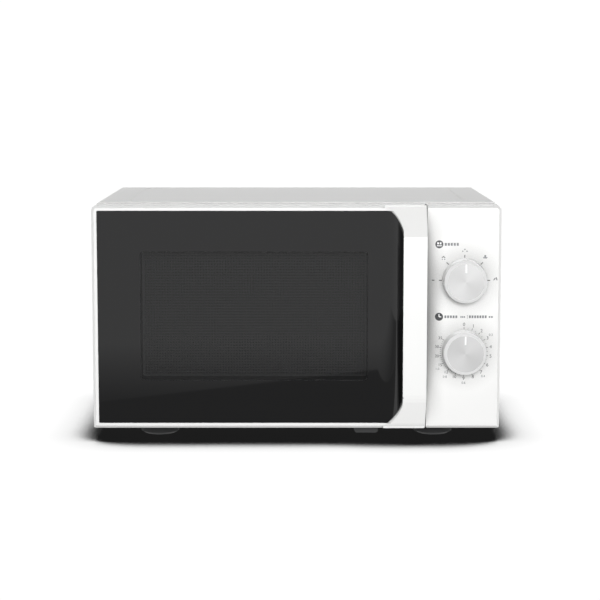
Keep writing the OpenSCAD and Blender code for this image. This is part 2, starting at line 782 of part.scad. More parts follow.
module magnetron_fins() {
    x0 = guide_x1 + 9.6;
    x1 = yoke_x1 - 9.6;
    color("lightsteelblue") {
        rod_x(mag_y, mag_z, x0, x1, anode_r);
        for (i = [0:6]) {
            x = x0 + 1.5 + i * (x1 - x0 - 3.6) / 6;
            box([x, mag_y - 34, mag_z - mag_half_z + 1.6], [x + 0.6, mag_y + 34, mag_z + mag_half_z - 1.6]);
        }
    }
}

module magnetron_antenna() {
    color("lightpink") {
        rod_x(mag_y, mag_z, guide_x1 - 9, guide_x1 + 9.5, 8);
        rod_x(mag_y, mag_z, guide_x1 - 19, guide_x1 - 9, 7);
    }
}

core_w = 84;
core_t = 46;
core_h = 68;
leg_w = 24;
coil_w = 15;
core_y = plate_y + 96;

module transformer_core() {
    color("dimgray") difference() {
        union() {
            box([fan_x - core_w / 2, core_y - core_t / 2, base_top],
                [fan_x + core_w / 2, core_y + core_t / 2, base_top + core_h]);
            box([fan_x - core_w / 2, core_y - core_t / 2 - 12, base_top],
                [fan_x + core_w / 2, core_y + core_t / 2 + 12, base_top + 1.6]);
        }
        for (s = [-1, 1])
            translate([fan_x + s * (leg_w / 2 + 8), core_y, base_top + core_h / 2])
                cube([16, core_t + 2, 42], center = true);
    }
}

// One flat coil round the middle leg, between two heights
module coil(z0, z1) {
    translate([fan_x, core_y, z0]) linear_extrude(z1 - z0) difference() {
        round_rect(leg_w + 2 * coil_w, core_t + 2 * coil_w, 8);
        square([leg_w + 0.6, core_t + 0.6], center = true);
    }
}

module transformer_windings() {
    z0 = base_top + core_h / 2 - 20;
    color("peru") {
        coil(z0, z0 + 19);
        coil(z0 + 21, z0 + 40);
    }
}

can_x = [bay_x0 + 8, bay_x0 + 88];
can_y = back_y - 62;
can_r = 16;
can_z = base_top + can_r + 1.2;

// Outline of the oval capacitor can, grown by extra
module can_outline(extra) {
    for (s = [-1, 1]) translate([s * 9, 0]) circle(can_r + extra);
    square([18, 2 * (can_r + extra)], center = true);
}

module capacitor() {
    color("silver") {
        translate([can_x[0], can_y, can_z]) rotate([90, 0, 90])
            linear_extrude(can_x[1] - can_x[0]) can_outline(0);
        for (s = [-1, 1])
            box([can_x[1], can_y + s * 8 - 3, can_z - 0.4], [can_x[1] + 8, can_y + s * 8 + 3, can_z + 0.4]);
    }
}

module capacitor_clamp() {
    x = (can_x[0] + can_x[1]) / 2;
    color("lightgray") difference() {
        union() {
            translate([x - 7, can_y, can_z]) rotate([90, 0, 90]) linear_extrude(14) can_outline(1.1);
            box([x - 7, can_y - 40, base_top], [x + 7, can_y, base_top + 1.1]);
        }
        translate([x - 8, can_y, can_z]) rotate([90, 0, 90]) linear_extrude(16) can_outline(0.1);
        box([x - 20, can_y - 60, base_z - 5], [x + 20, can_y + 60, base_top]);
    }
}

module diode() {
    y = can_y + can_r + 18;
    color("black") rod_x(y, base_top + 3.2, can_x[0] + 12, can_x[0] + 30, 3.2);
    color("silver") rod_x(y, base_top + 3.2, can_x[0] + 30, can_x[0] + 38, 0.7);
}

// ---------- cooling fan ----------

shroud_y = back_y - 2 * sheet - 0.1;
shroud_half = fan_d / 2 + 5;
fan_hub_r = 9;
spindle_d = 4;

module fan_shroud() {
    color("ivory") {
        difference() {
            upright(fan_x - shroud_half, fan_x + shroud_half, fan_z - shroud_half, fan_z + shroud_half,
                shroud_y - 15, shroud_y, 6);
            rod_y(fan_x, fan_z, shroud_y - 16, shroud_y + 1, fan_d / 2 + 1.5);
        }
        // Arms that hold the motor
        for (s = [-1, 1]) {
            box([fan_x + s * 25.5 - 3, shroud_y - 46, fan_z - 5], [fan_x + s * 25.5 + 3, shroud_y - 15, fan_z + 5]);
            box([fan_x + s * 37 - 14.5, shroud_y - 18, fan_z - 5], [fan_x + s * 37 + 14.5, shroud_y - 15, fan_z + 5]);
        }
    }
}

module fan_motor() {
    color("dimgray") difference() {
        union() {
            box([fan_x - 22.5, shroud_y - 44, fan_z - 22], [fan_x + 22.5, shroud_y - 26, fan_z + 18]);
            rod_y(fan_x, fan_z, shroud_y - 48, shroud_y - 21, 12);
        }
        rod_y(fan_x, fan_z, shroud_y - 47, shroud_y - 20, spindle_d / 2 + run_fit);
    }
}

module fan_blade() {
    color("lightgray") {
        rod_y(fan_x, fan_z, shroud_y - 46.5, shroud_y - 6, spindle_d / 2);
        rod_y(fan_x, fan_z, shroud_y - 14, shroud_y - 3, fan_hub_r);
        for (i = [0:4])
            translate([fan_x, shroud_y - 8.5, fan_z]) rotate([0, i * 72, 0])
                translate([fan_hub_r - 2, 0, 0]) rotate([24, 0, 0])
                    translate([0, -0.8, -11]) cube([fan_d / 2 - fan_hub_r, 1.6, 22]);
    }
}

duct_x1 = yoke_x1 - 4;
duct_z = [mag_z - mag_half_z, cav_z1 - 14];

module air_duct() {
    t = 1.5;
    color("lightgray") difference() {
        box([bay_x0 + 0.1, duct_y[0], duct_z[0]], [duct_x1, duct_y[1], duct_z[1]]);
        box([bay_x0 - 1, duct_y[0] + t, duct_z[0] + t], [duct_x1 - t, duct_y[1] + 1, duct_z[1] - t]);
        rod_x(lamp_y, lamp_z, duct_x1 - 5, duct_x1 + 1, 6.2);
    }
}

lamp_z = cav_z1 - 36;
lamp_y = (duct_y[0] + duct_y[1]) / 2 + 1;

module cavity_lamp() {
    color("lightyellow") {
        rod_x(lamp_y, lamp_z, bay_x0 + 16, bay_x0 + 34, 9);
        translate([bay_x0 + 16, lamp_y, lamp_z]) sphere(9);
    }
}

module lamp_holder() {
    color("ivory") {
        rod_x(lamp_y, lamp_z, bay_x0 + 34, duct_x1 - 1.5, 11);
        rod_x(lamp_y, lamp_z, duct_x1 - 2, duct_x1 + 1, 6);
        box([duct_x1, lamp_y - 9, lamp_z - 9], [duct_x1 + 4, lamp_y + 9, lamp_z + 9]);
    }
}

module thermal_cutouts() {
    color("tan") {
        rod_x(plate_y + 206, cav_z0 + 70, bay_x0, bay_x0 + 8, 8);
        rod_z((guide_x1 + yoke_x1) / 2, mag_y, mag_z + mag_half_z, mag_z + mag_half_z + 8, 8);
    }
}

pcb_w = 62;
pcb_h = 40;
pcb_y = shroud_y - 9;
pcb_z = fan_z - shroud_half - pcb_h / 2 - 6;

module filter_board() {
    color("darkgreen") box([fan_x - pcb_w / 2, pcb_y, pcb_z - pcb_h / 2],
        [fan_x + pcb_w / 2, pcb_y + 1.6, pcb_z + pcb_h / 2]);
    color("ivory") for (x = [-1, 1], z = [-1, 1])
        rod_y(fan_x + x * (pcb_w / 2 - 4), pcb_z + z * (pcb_h / 2 - 4), pcb_y + 1.6, shroud_y, 2.5);
    color("dimgray") {
        box([fan_x - 26, pcb_y - 16, pcb_z - 12], [fan_x - 8, pcb_y, pcb_z + 12]);
        box([fan_x - 2, pcb_y - 10, pcb_z - 14], [fan_x + 12, pcb_y, pcb_z + 2]);
    }
    color("silver") rod_x(pcb_y - 2.4, pcb_z + 13, fan_x - 2, fan_x + 22, 2.6);
}

// ---------- turntable ----------

module turntable_glass() {
    r = table_d / 2;
    color("lightcyan") translate([cav_x, cav_y, tray_z]) rotate_extrude($fn = 180)
        polygon([[0, 0], [r - 16, 0], [r - 5, 7], [r, 9], [r, 11], [r - 6, 11 - 0.5],
            [r - 17, tray_t], [0, tray_t]]);
}

ring_r = track_d / 2 - 9;

module roller_ring() {
    color("whitesmoke") {
        translate([cav_x, cav_y, ring_z - 2.5]) difference() {
            cylinder(h = 5, r = ring_r + 3, $fn = 120);
            translate([0, 0, -1]) cylinder(h = 7, r = ring_r - 2, $fn = 120);
        }
        for (a = roller_at)
            translate([cav_x, cav_y, ring_z]) rotate([0, 0, a]) {
                translate([ring_r, 0, 0]) rotate([0, 90, 0]) cylinder(h = track_d / 2 + 6 - ring_r, r = axle_d / 2);
                translate([track_d / 2 + 4, 0, 0]) rotate([0, 90, 0]) cylinder(h = 2, r = axle_d / 2 + 1.2);
            }
    }
}

roller_at = [90, 210, 330];
roller_w = 5;

// One wheel that the tray rolls on
module roller(a) {
    color("white") translate([cav_x, cav_y, ring_z]) rotate([0, 0, a])
        translate([track_d / 2 - roller_w / 2, 0, 0]) rotate([0, 90, 0]) difference() {
            cylinder(h = roller_w, r = roller_d / 2);
            translate([0, 0, -1]) cylinder(h = roller_w + 2, r = axle_d / 2 + run_fit);
        }
}

module roller_a() { roller(roller_at[0]); }
module roller_b() { roller(roller_at[1]); }
module roller_c() { roller(roller_at[2]); }

module drive_coupler() {
    color("whitesmoke") {
        rod_z(cav_x, cav_y, cav_z0 + 1, cav_z0 + 4, coupler_d / 2);
        rod_z(cav_x, cav_y, cav_z0 + 1, tray_z, 9);
        for (a = roller_at)
            translate([cav_x, cav_y, cav_z0 + 4 - eps]) rotate([0, 0, a])
                translate([4, -2.5, 0]) cube([coupler_d / 2 - 5, 5, tray_z - cav_z0 - 4 + eps]);
        rod_z(cav_x, cav_y, cav_z0 - sheet - motor_h + 3, cav_z0 + 2, 3);
    }
}

module turntable_motor() {
    z1 = cav_z0 - sheet;
    color("silver") difference() {
        union() {
            rod_z(cav_x, cav_y, z1 - motor_h, z1, 25);
            box([cav_x - 32, cav_y - 6, z1 - 1], [cav_x + 32, cav_y + 6, z1]);
        }
        rod_z(cav_x, cav_y, z1 - motor_h + 2, z1 + 1, 3 + run_fit);
    }
}

// ---------- leads, gland and screws ----------

function unit(v) = v / norm(v);

// Direction of a route at its point i
function heading(p, i) =
    i == 0 ? unit(p[1] - p[0])
    : i == len(p) - 1 ? unit(p[i] - p[i - 1])
    : unit(unit(p[i] - p[i - 1]) + unit(p[i + 1] - p[i]));

// Corners of the lead's section at point i
function section(p, i, r, sides) =
    let (t = heading(p, i), u = unit(cross([0.9, 0.35, 0.25], t)), v = cross(t, u))
    [for (k = [0:sides - 1]) p[i] + r * (cos(360 * k / sides) * u + sin(360 * k / sides) * v)];

// Round lead swept along a list of points
module lead(points, r) {
    sides = 8;
    n = len(points);
    corners = [for (i = [0:n - 1], q = section(points, i, r, sides)) q];
    walls = [for (i = [0:n - 2], k = [0:sides - 1])
        let (a = i * sides + k, b = i * sides + (k + 1) % sides)
        for (f = [[a, a + sides, b + sides], [a, b + sides, b]]) f];
    ends = [[for (k = [0:sides - 1]) k], [for (k = [0:sides - 1]) n * sides - 1 - k]];
    polyhedron(corners, concat(walls, ends), convexity = 6);
}

module wiring() {
    coil_top = base_top + core_h / 2 + 20.1;
    color("firebrick") for (i = [0, 1])
        lead([[fan_x + 14 + i * 8, core_y + 30, coil_top], [fan_x + 14 + i * 8, core_y + 30, coil_top + 6],
            [filter_x1 - 12 + i * 7, core_y + 34, coil_top + 18],
            [filter_x1 - 12 + i * 7, mag_y - 8, mag_z - 42], [filter_x1 - 12 + i * 7, mag_y - 8, mag_z - 26.1]], 1.2);
    color("navy")
        lead([[knob_x + 16, unit_y + unit_d + 0.1, knob_z[0]], [knob_x + 16, plate_y + 8, knob_z[0]],
            [bay_x1 - 5, plate_y + 24, knob_z[0] - 26], [bay_x1 - 5, pcb_y - 24, pcb_z + 6],
            [fan_x + 26, pcb_y - 8, pcb_z - 4], [fan_x + 26, pcb_y - 0.1, pcb_z - 4]], 1.4);
}

module cord_gland() {
    x = bay_x1 - 26;
    z = ground_gap + 34;
    y = back_y - sheet - 0.05;
    color("black") difference() {
        union() {
            rod_y(x, z, y, y + 7, 9, 7.5);
            rod_y(x, z, y - sheet - 0.1, y + 1, 6.1);
            rod_y(x, z, y - sheet - 5, y - sheet - 0.1, 8);
        }
        rod_y(x, z, y - 20, y + 20, 3.6);
    }
}

module screws() {
    color("silver") for (p = cover_screw_at()) {
        rod_y(p[0], p[1], back_y + 0.02, back_y + 2, 3.2);
        rod_y(p[0], p[1], back_y - 7, back_y + 0.1, 1.5);
    }
}

outer_cover();
front_plate();
cavity_shell();
back_plate();
base_plate();
front_feet();
rear_feet();
control_panel();
door_frame();
door_panel();
door_inner_plate();
door_screen();
choke_cover();
inner_film();
latch_hooks();
latch_spring();
upper_hinge();
lower_hinge();
power_knob();
power_knob_cap();
timer_knob();
timer_knob_cap();
power_shaft();
timer_shaft();
power_selector();
timer_unit();
timer_bell();
interlock_board();
door_switches();
upper_plunger();
middle_plunger();
lower_plunger();
magnetron_yoke();
magnetron_fins();
magnetron_antenna();
waveguide();
waveguide_cover();
transformer_core();
transformer_windings();
capacitor();
capacitor_clamp();
diode();
fan_shroud();
fan_motor();
fan_blade();
air_duct();
turntable_glass();
roller_ring();
roller_a();
roller_b();
roller_c();
drive_coupler();
turntable_motor();
cavity_lamp();
lamp_holder();
thermal_cutouts();
filter_board();
wiring();
cord_gland();
screws();
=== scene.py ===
"""Looks of a countertop microwave oven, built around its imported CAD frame.

The frame gives every size and place. This file dresses the CAD nodes in real
finishes, and adds the pieces that need finer meshes than CAD gives them.
"""
import json
import logging
import math
from dataclasses import dataclass, field
from enum import Enum

import bmesh
import bpy
from mathutils import Matrix, Vector
from mathutils.bvhtree import BVHTree


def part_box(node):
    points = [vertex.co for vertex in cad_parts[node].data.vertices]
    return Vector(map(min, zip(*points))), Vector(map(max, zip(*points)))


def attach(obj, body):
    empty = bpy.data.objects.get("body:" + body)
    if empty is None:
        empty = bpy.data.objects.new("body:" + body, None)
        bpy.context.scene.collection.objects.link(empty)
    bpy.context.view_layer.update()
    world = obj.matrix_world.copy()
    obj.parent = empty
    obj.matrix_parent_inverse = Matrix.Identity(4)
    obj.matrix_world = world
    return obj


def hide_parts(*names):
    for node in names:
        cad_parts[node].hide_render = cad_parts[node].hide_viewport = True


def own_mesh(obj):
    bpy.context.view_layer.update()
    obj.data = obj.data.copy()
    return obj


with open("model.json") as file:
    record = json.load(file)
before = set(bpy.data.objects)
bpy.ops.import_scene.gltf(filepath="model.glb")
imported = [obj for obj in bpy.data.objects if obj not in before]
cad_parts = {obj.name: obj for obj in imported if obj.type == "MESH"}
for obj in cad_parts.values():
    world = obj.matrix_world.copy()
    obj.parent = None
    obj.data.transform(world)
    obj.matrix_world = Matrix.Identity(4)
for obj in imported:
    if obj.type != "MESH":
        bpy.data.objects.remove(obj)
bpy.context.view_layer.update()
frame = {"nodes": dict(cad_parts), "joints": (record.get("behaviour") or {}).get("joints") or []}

MM = 0.001
LOG = logging.getLogger("microwave")
Socket = bpy.types.NodeSocket
Tree = bpy.types.NodeTree
Node = bpy.types.Node
Material = bpy.types.Material
Object = bpy.types.Object


# ---------------------------------------------------------------- helpers


def linear(code: str) -> tuple[float, float, float, float]:
    """Turns an sRGB hex colour into linear values.

    Args:
        code: Six hex digits, such as "f4f4f2".

    Returns:
        Red, green, blue and an alpha of 1.
    """
    parts = [int(code[i:i + 2], 16) / 255 for i in (0, 2, 4)]
    low = [c / 12.92 if c <= 0.04045 else ((c + 0.055) / 1.055) ** 2.4 for c in parts]
    return low[0], low[1], low[2], 1.0


def add_node(tree: Tree, kind: str, inputs: dict | None = None, **settings: object) -> Node:
    """Adds one shader node, sets it and links it.

    Args:
        tree: The node tree to add to.
        kind: Blender's name of the node type.
        inputs: Input name or number to a value, or to an output socket to link.
        **settings: Attributes of the node itself.

    Returns:
        The new node.
    """
    node = tree.nodes.new(kind)
    for key, value in settings.items():
        setattr(node, key, value)
    for key, value in (inputs or {}).items():
        if isinstance(value, Socket):
            tree.links.new(value, node.inputs[key])
        else:
            node.inputs[key].default_value = value
    return node


def link_object(name: str, mesh: bpy.types.Mesh) -> Object:
    """Puts a mesh into the scene under a name.

    Args:
        name: The piece's name.
        mesh: Its mesh, in the frame's own metres.

    Returns:
        The new object.
    """
    piece = bpy.data.objects.new(name, mesh)
    bpy.context.scene.collection.objects.link(piece)
    return piece


def mesh_from(name: str, bm: bmesh.types.BMesh, smooth: bool = False) -> Object:
    """Closes a bmesh into a new object.

    Args:
        name: The piece's name.
        bm: The finished bmesh, which is freed.
        smooth: Whether its faces are smooth-shaded.

    Returns:
        The new object.
    """
    bmesh.ops.recalc_face_normals(bm, faces=bm.faces)
    mesh = bpy.data.meshes.new(name)
    bm.to_mesh(mesh)
    bm.free()
    mesh.polygons.foreach_set("use_smooth", [smooth] * len(mesh.polygons))
    return link_object(name, mesh)


def round_rect(width: float, height: float, radius: float, steps: int = 8) -> list[tuple[float, float]]:
    """Points of a rectangle with round corners, centred on the origin.

    Args:
        width: Overall width.
        height: Overall height.
        radius: Corner radius.
        steps: Segments in each corner.

    Returns:
        The outline's points, anticlockwise.
    """
    points = []
    for k, (sx, sy) in enumerate(((1, 1), (-1, 1), (-1, -1), (1, -1))):
        for i in range(steps + 1):
            angle = math.pi / 2 * (k + i / steps)
            points.append((sx * (width / 2 - radius) + radius * math.cos(angle),
                           sy * (height / 2 - radius) + radius * math.sin(angle)))
    return points


def prism(bm: bmesh.types.BMesh, outline: list[tuple[float, float]], x: float, z: float,
          y0: float, y1: float) -> None:
    """Adds a closed prism that stands along Y.

    Args:
        bm: The bmesh to add to.
        outline: Points in the XZ plane, about (x, z).
        x: Where the outline's origin lies along X.
        z: Where the outline's origin lies along Z.
        y0: Front end.
        y1: Rear end.
    """
    front = [bm.verts.new((x + px, y0, z + pz)) for px, pz in outline]
    rear = [bm.verts.new((x + px, y1, z + pz)) for px, pz in outline]
    bm.faces.new(front)
    bm.faces.new(list(reversed(rear)))
    count = len(outline)
    for i in range(count):
        j = (i + 1) % count
        bm.faces.new((front[i], rear[i], rear[j], front[j]))


def dress(piece: Object, finish: Material) -> None:
    """Puts one material on the whole of a piece."""
    piece.data.materials.clear()
    piece.data.materials.append(finish)


def apply_modifiers(piece: Object) -> None:
    """Applies every modifier of a piece to its mesh.

    Args:
        piece: The piece, whose mesh is replaced by the finished one.
    """
    graph = bpy.context.evaluated_depsgraph_get()
    done = bpy.data.meshes.new_from_object(piece.evaluated_get(graph))
    piece.modifiers.clear()
    piece.data = done


def face_front(bm: bmesh.types.BMesh) -> None:
    """Turns every face of a flat sheet to look forwards, along -Y.

    Args:
        bm: The sheet's bmesh.
    """
    for face in bm.faces:
        face.normal_update()
        if face.normal.y > 0:
            face.normal_flip()


def find_joint(name: str) -> dict:
    """Row of a joint of the frame, by its name."""
    return next(joint for joint in frame["joints"] if joint["name"] == name)


def centre(node: str) -> Vector:
    """Middle of a CAD node's box."""
    low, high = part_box(node)
    return (low + high) / 2


# --------------------------------------------------------------- finishes


# Scale along the brushing: marks run fifty times as long as they are wide
BRUSH_LENGTH = 0.02
# Length of one wave of a wave texture at a scale of 1
WAVE_PITCH = math.tau / 20
# Depth of the lathe's grooves in the knobs' discs
GROOVE_MM = 0.004


class Grain(Enum):
    """How a finish's fine relief runs."""

    EVEN = "even"
    BRUSHED_X = "brushed along x"
    BRUSHED_Z = "brushed along z"


@dataclass(frozen=True)
class Finish:
    """A surface with a fine relief and a slight unevenness of colour and gloss.

    Sizes are in millimetres. The relief is a noise of the grain's own size. The shade is a
    painted shade: how far ambient occlusion darkens the colour in hollows and beside raised parts.
    """

    name: str
    colour: str
    roughness: float
    metallic: float = 0.0
    ior: float = 1.5
    coat: float = 0.0
    coat_roughness: float = 0.03
    grain_mm: float = 0.8
    relief_mm: float = 0.01
    mottle: float = 0.03
    mottle_mm: float = 40.0
    gloss_change: float = 0.04
    grain: Grain = Grain.EVEN
    alpha: float = 1.0
    bevel_mm: float = 0.0
    shade: float = 0.0
    shade_mm: float = 22.0

    def stretch(self) -> tuple[float, float, float]:
        """Makes the grain long along the brushing.

        Returns:
            Its scale along X, Y and Z.
        """
        if self.grain is Grain.BRUSHED_X:
            return BRUSH_LENGTH, 1.0, 1.0
        if self.grain is Grain.BRUSHED_Z:
            return 1.0, 1.0, BRUSH_LENGTH
        return 1.0, 1.0, 1.0

    def shader(self, tree: Tree) -> Node:
        """Adds the shader and its patterns.

        Args:
            tree: The material's node tree.

        Returns:
            The Principled shader.
        """
        place = add_node(tree, "ShaderNodeTexCoord").outputs["Object"]
        run = add_node(tree, "ShaderNodeMapping", {"Vector": place, "Scale": self.stretch()})
        fine = add_node(tree, "ShaderNodeTexNoise",
                        {"Vector": run.outputs[0], "Scale": 1 / (self.grain_mm * MM), "Detail": 3.0})
        broad = add_node(tree, "ShaderNodeTexNoise",
                         {"Vector": place, "Scale": 1 / (self.mottle_mm * MM), "Detail": 4.0})
        colour = linear(self.colour)
        darker = tuple(c * (1 - self.mottle) for c in colour[:3]) + (1.0,)
        # Inputs 6 and 7 and output 2 are the colour sockets of a Mix node
        tint = add_node(tree, "ShaderNodeMix", {0: broad.outputs["Fac"], 6: darker, 7: colour},
                        data_type="RGBA")
        gloss = add_node(tree, "ShaderNodeMapRange",
                         {"Value": fine.outputs["Fac"],
                          "To Min": max(self.roughness - self.gloss_change, 0.0),
                          "To Max": self.roughness + self.gloss_change})
        relief = add_node(tree, "ShaderNodeBump",
                          {"Height": fine.outputs["Fac"], "Distance": self.relief_mm * MM, "Strength": 1.0})
        if self.bevel_mm:
            soft = add_node(tree, "ShaderNodeBevel", {"Radius": self.bevel_mm * MM}, samples=4)
            tree.links.new(soft.outputs[0], relief.inputs["Normal"])
        paint = tint.outputs[2]
        if self.shade:
            # Painted shade: ambient occlusion darkens the colour in hollows and at the feet of raised pieces
            sky = add_node(tree, "ShaderNodeAmbientOcclusion", {"Distance": self.shade_mm * MM}, samples=6)
            depth = add_node(tree, "ShaderNodeMapRange",
                             {"Value": sky.outputs["AO"], "From Min": 0.35, "From Max": 0.97,
                              "To Min": 1 - self.shade, "To Max": 1.0})
            paint = add_node(tree, "ShaderNodeVectorMath", {0: paint, "Scale": depth.outputs[0]},
                             operation="SCALE").outputs[0]
        return add_node(tree, "ShaderNodeBsdfPrincipled",
                        {"Base Color": paint, "Roughness": gloss.outputs[0], "Metallic": self.metallic,
                         "IOR": self.ior, "Coat Weight": self.coat, "Coat Roughness": self.coat_roughness,
                         "Alpha": self.alpha, "Normal": relief.outputs[0]})

    def make(self) -> Material:
        """Builds the material, once.

        Returns:
            The material of this finish.
        """
        if self.name in bpy.data.materials:
            return bpy.data.materials[self.name]
        material = bpy.data.materials.new(self.name)
        material.use_nodes = True
        tree = material.node_tree
        tree.nodes.clear()
        out = add_node(tree, "ShaderNodeOutputMaterial")
        tree.links.new(self.shader(tree).outputs[0], out.inputs["Surface"])
        return material


@dataclass(frozen=True)
class SpunMetal(Finish):
    """Aluminium disc turned on a lathe: fine rings in its relief, and fans of light painted into its colour.
    """

    centre_at: tuple[float, float, float] = (0.0, 0.0, 0.0)
    ring_mm: float = 0.35
    # How far the painted light fans darken the colour between them
    fan: float = 0.14

    def shader(self, tree: Tree) -> Node:
        """Adds the shader, with relief rings and painted light fans about the disc's centre.

        Args:
            tree: The material's node tree.

        Returns:
            The Principled shader.
        """
        base = super().shader(tree)
        place = add_node(tree, "ShaderNodeTexCoord").outputs["Object"]
        local = add_node(tree, "ShaderNodeVectorMath", {0: place, 1: self.centre_at}, operation="SUBTRACT")
        split = add_node(tree, "ShaderNodeSeparateXYZ", {0: local.outputs[0]})
        angle = add_node(tree, "ShaderNodeMath", {0: split.outputs["Z"], 1: split.outputs["X"]},
                         operation="ARCTAN2")
        # Painted sheen: two pairs of light fans opposite each other, as a spun face shows under soft boxes
        double = add_node(tree, "ShaderNodeMath", {0: angle.outputs[0], 1: 2.0, 2: -0.15},
                          operation="MULTIPLY_ADD")
        wave = add_node(tree, "ShaderNodeMath", {0: double.outputs[0]}, operation="SINE")
        shade = add_node(tree, "ShaderNodeMapRange",
                         {"Value": wave.outputs[0], "From Min": -1.0, "To Min": 1 - self.fan, "To Max": 1.0})
        radius = add_node(tree, "ShaderNodeVectorMath", {0: local.outputs[0]}, operation="LENGTH")
        per_metre = math.tau / (self.ring_mm * MM)
        rings = add_node(tree, "ShaderNodeMath", {0: radius.outputs["Value"], 1: per_metre},
                         operation="MULTIPLY")
        groove = add_node(tree, "ShaderNodeMath", {0: rings.outputs[0]}, operation="SINE")
        relief = add_node(tree, "ShaderNodeBump",
                          {"Height": groove.outputs[0], "Distance": GROOVE_MM * MM, "Strength": 0.6})
        colour = add_node(tree, "ShaderNodeVectorMath",
                          {0: linear(self.colour)[:3], "Scale": shade.outputs[0]}, operation="SCALE")
        tree.links.new(colour.outputs[0], base.inputs["Base Color"])
        tree.links.new(relief.outputs[0], base.inputs["Normal"])
        return base


@dataclass(frozen=True)
class Banded(Finish):
    """A surface of close layers, such as stacked core plates or wound wire."""

    band_mm: float = 0.5
    band_depth_mm: float = 0.12
    direction: str = "Z"

    def shader(self, tree: Tree) -> Node:
        """Adds the shader, with its layers.

        Args:
            tree: The material's node tree.

        Returns:
            The Principled shader.
        """
        base = super().shader(tree)
        place = add_node(tree, "ShaderNodeTexCoord").outputs["Object"]
        bands = add_node(tree, "ShaderNodeTexWave",
                         {"Vector": place, "Scale": WAVE_PITCH / (self.band_mm * MM), "Distortion": 0.3},
                         wave_type="BANDS", bands_direction=self.direction)
        relief = add_node(tree, "ShaderNodeBump",
                          {"Height": bands.outputs["Fac"], "Distance": self.band_depth_mm * MM,
                           "Strength": 1.0})
        tree.links.new(relief.outputs[0], base.inputs["Normal"])
        return base


@dataclass(frozen=True)
class ClearGlass(Finish):
    """Pressed or blown glass, clear, with a slight green depth."""

    def shader(self, tree: Tree) -> Node:
        """Adds the shader as real glass.

        Args:
            tree: The material's node tree.

        Returns:
            The Principled shader.
        """
        base = super().shader(tree)
        base.inputs["Transmission Weight"].default_value = 1.0
        return base


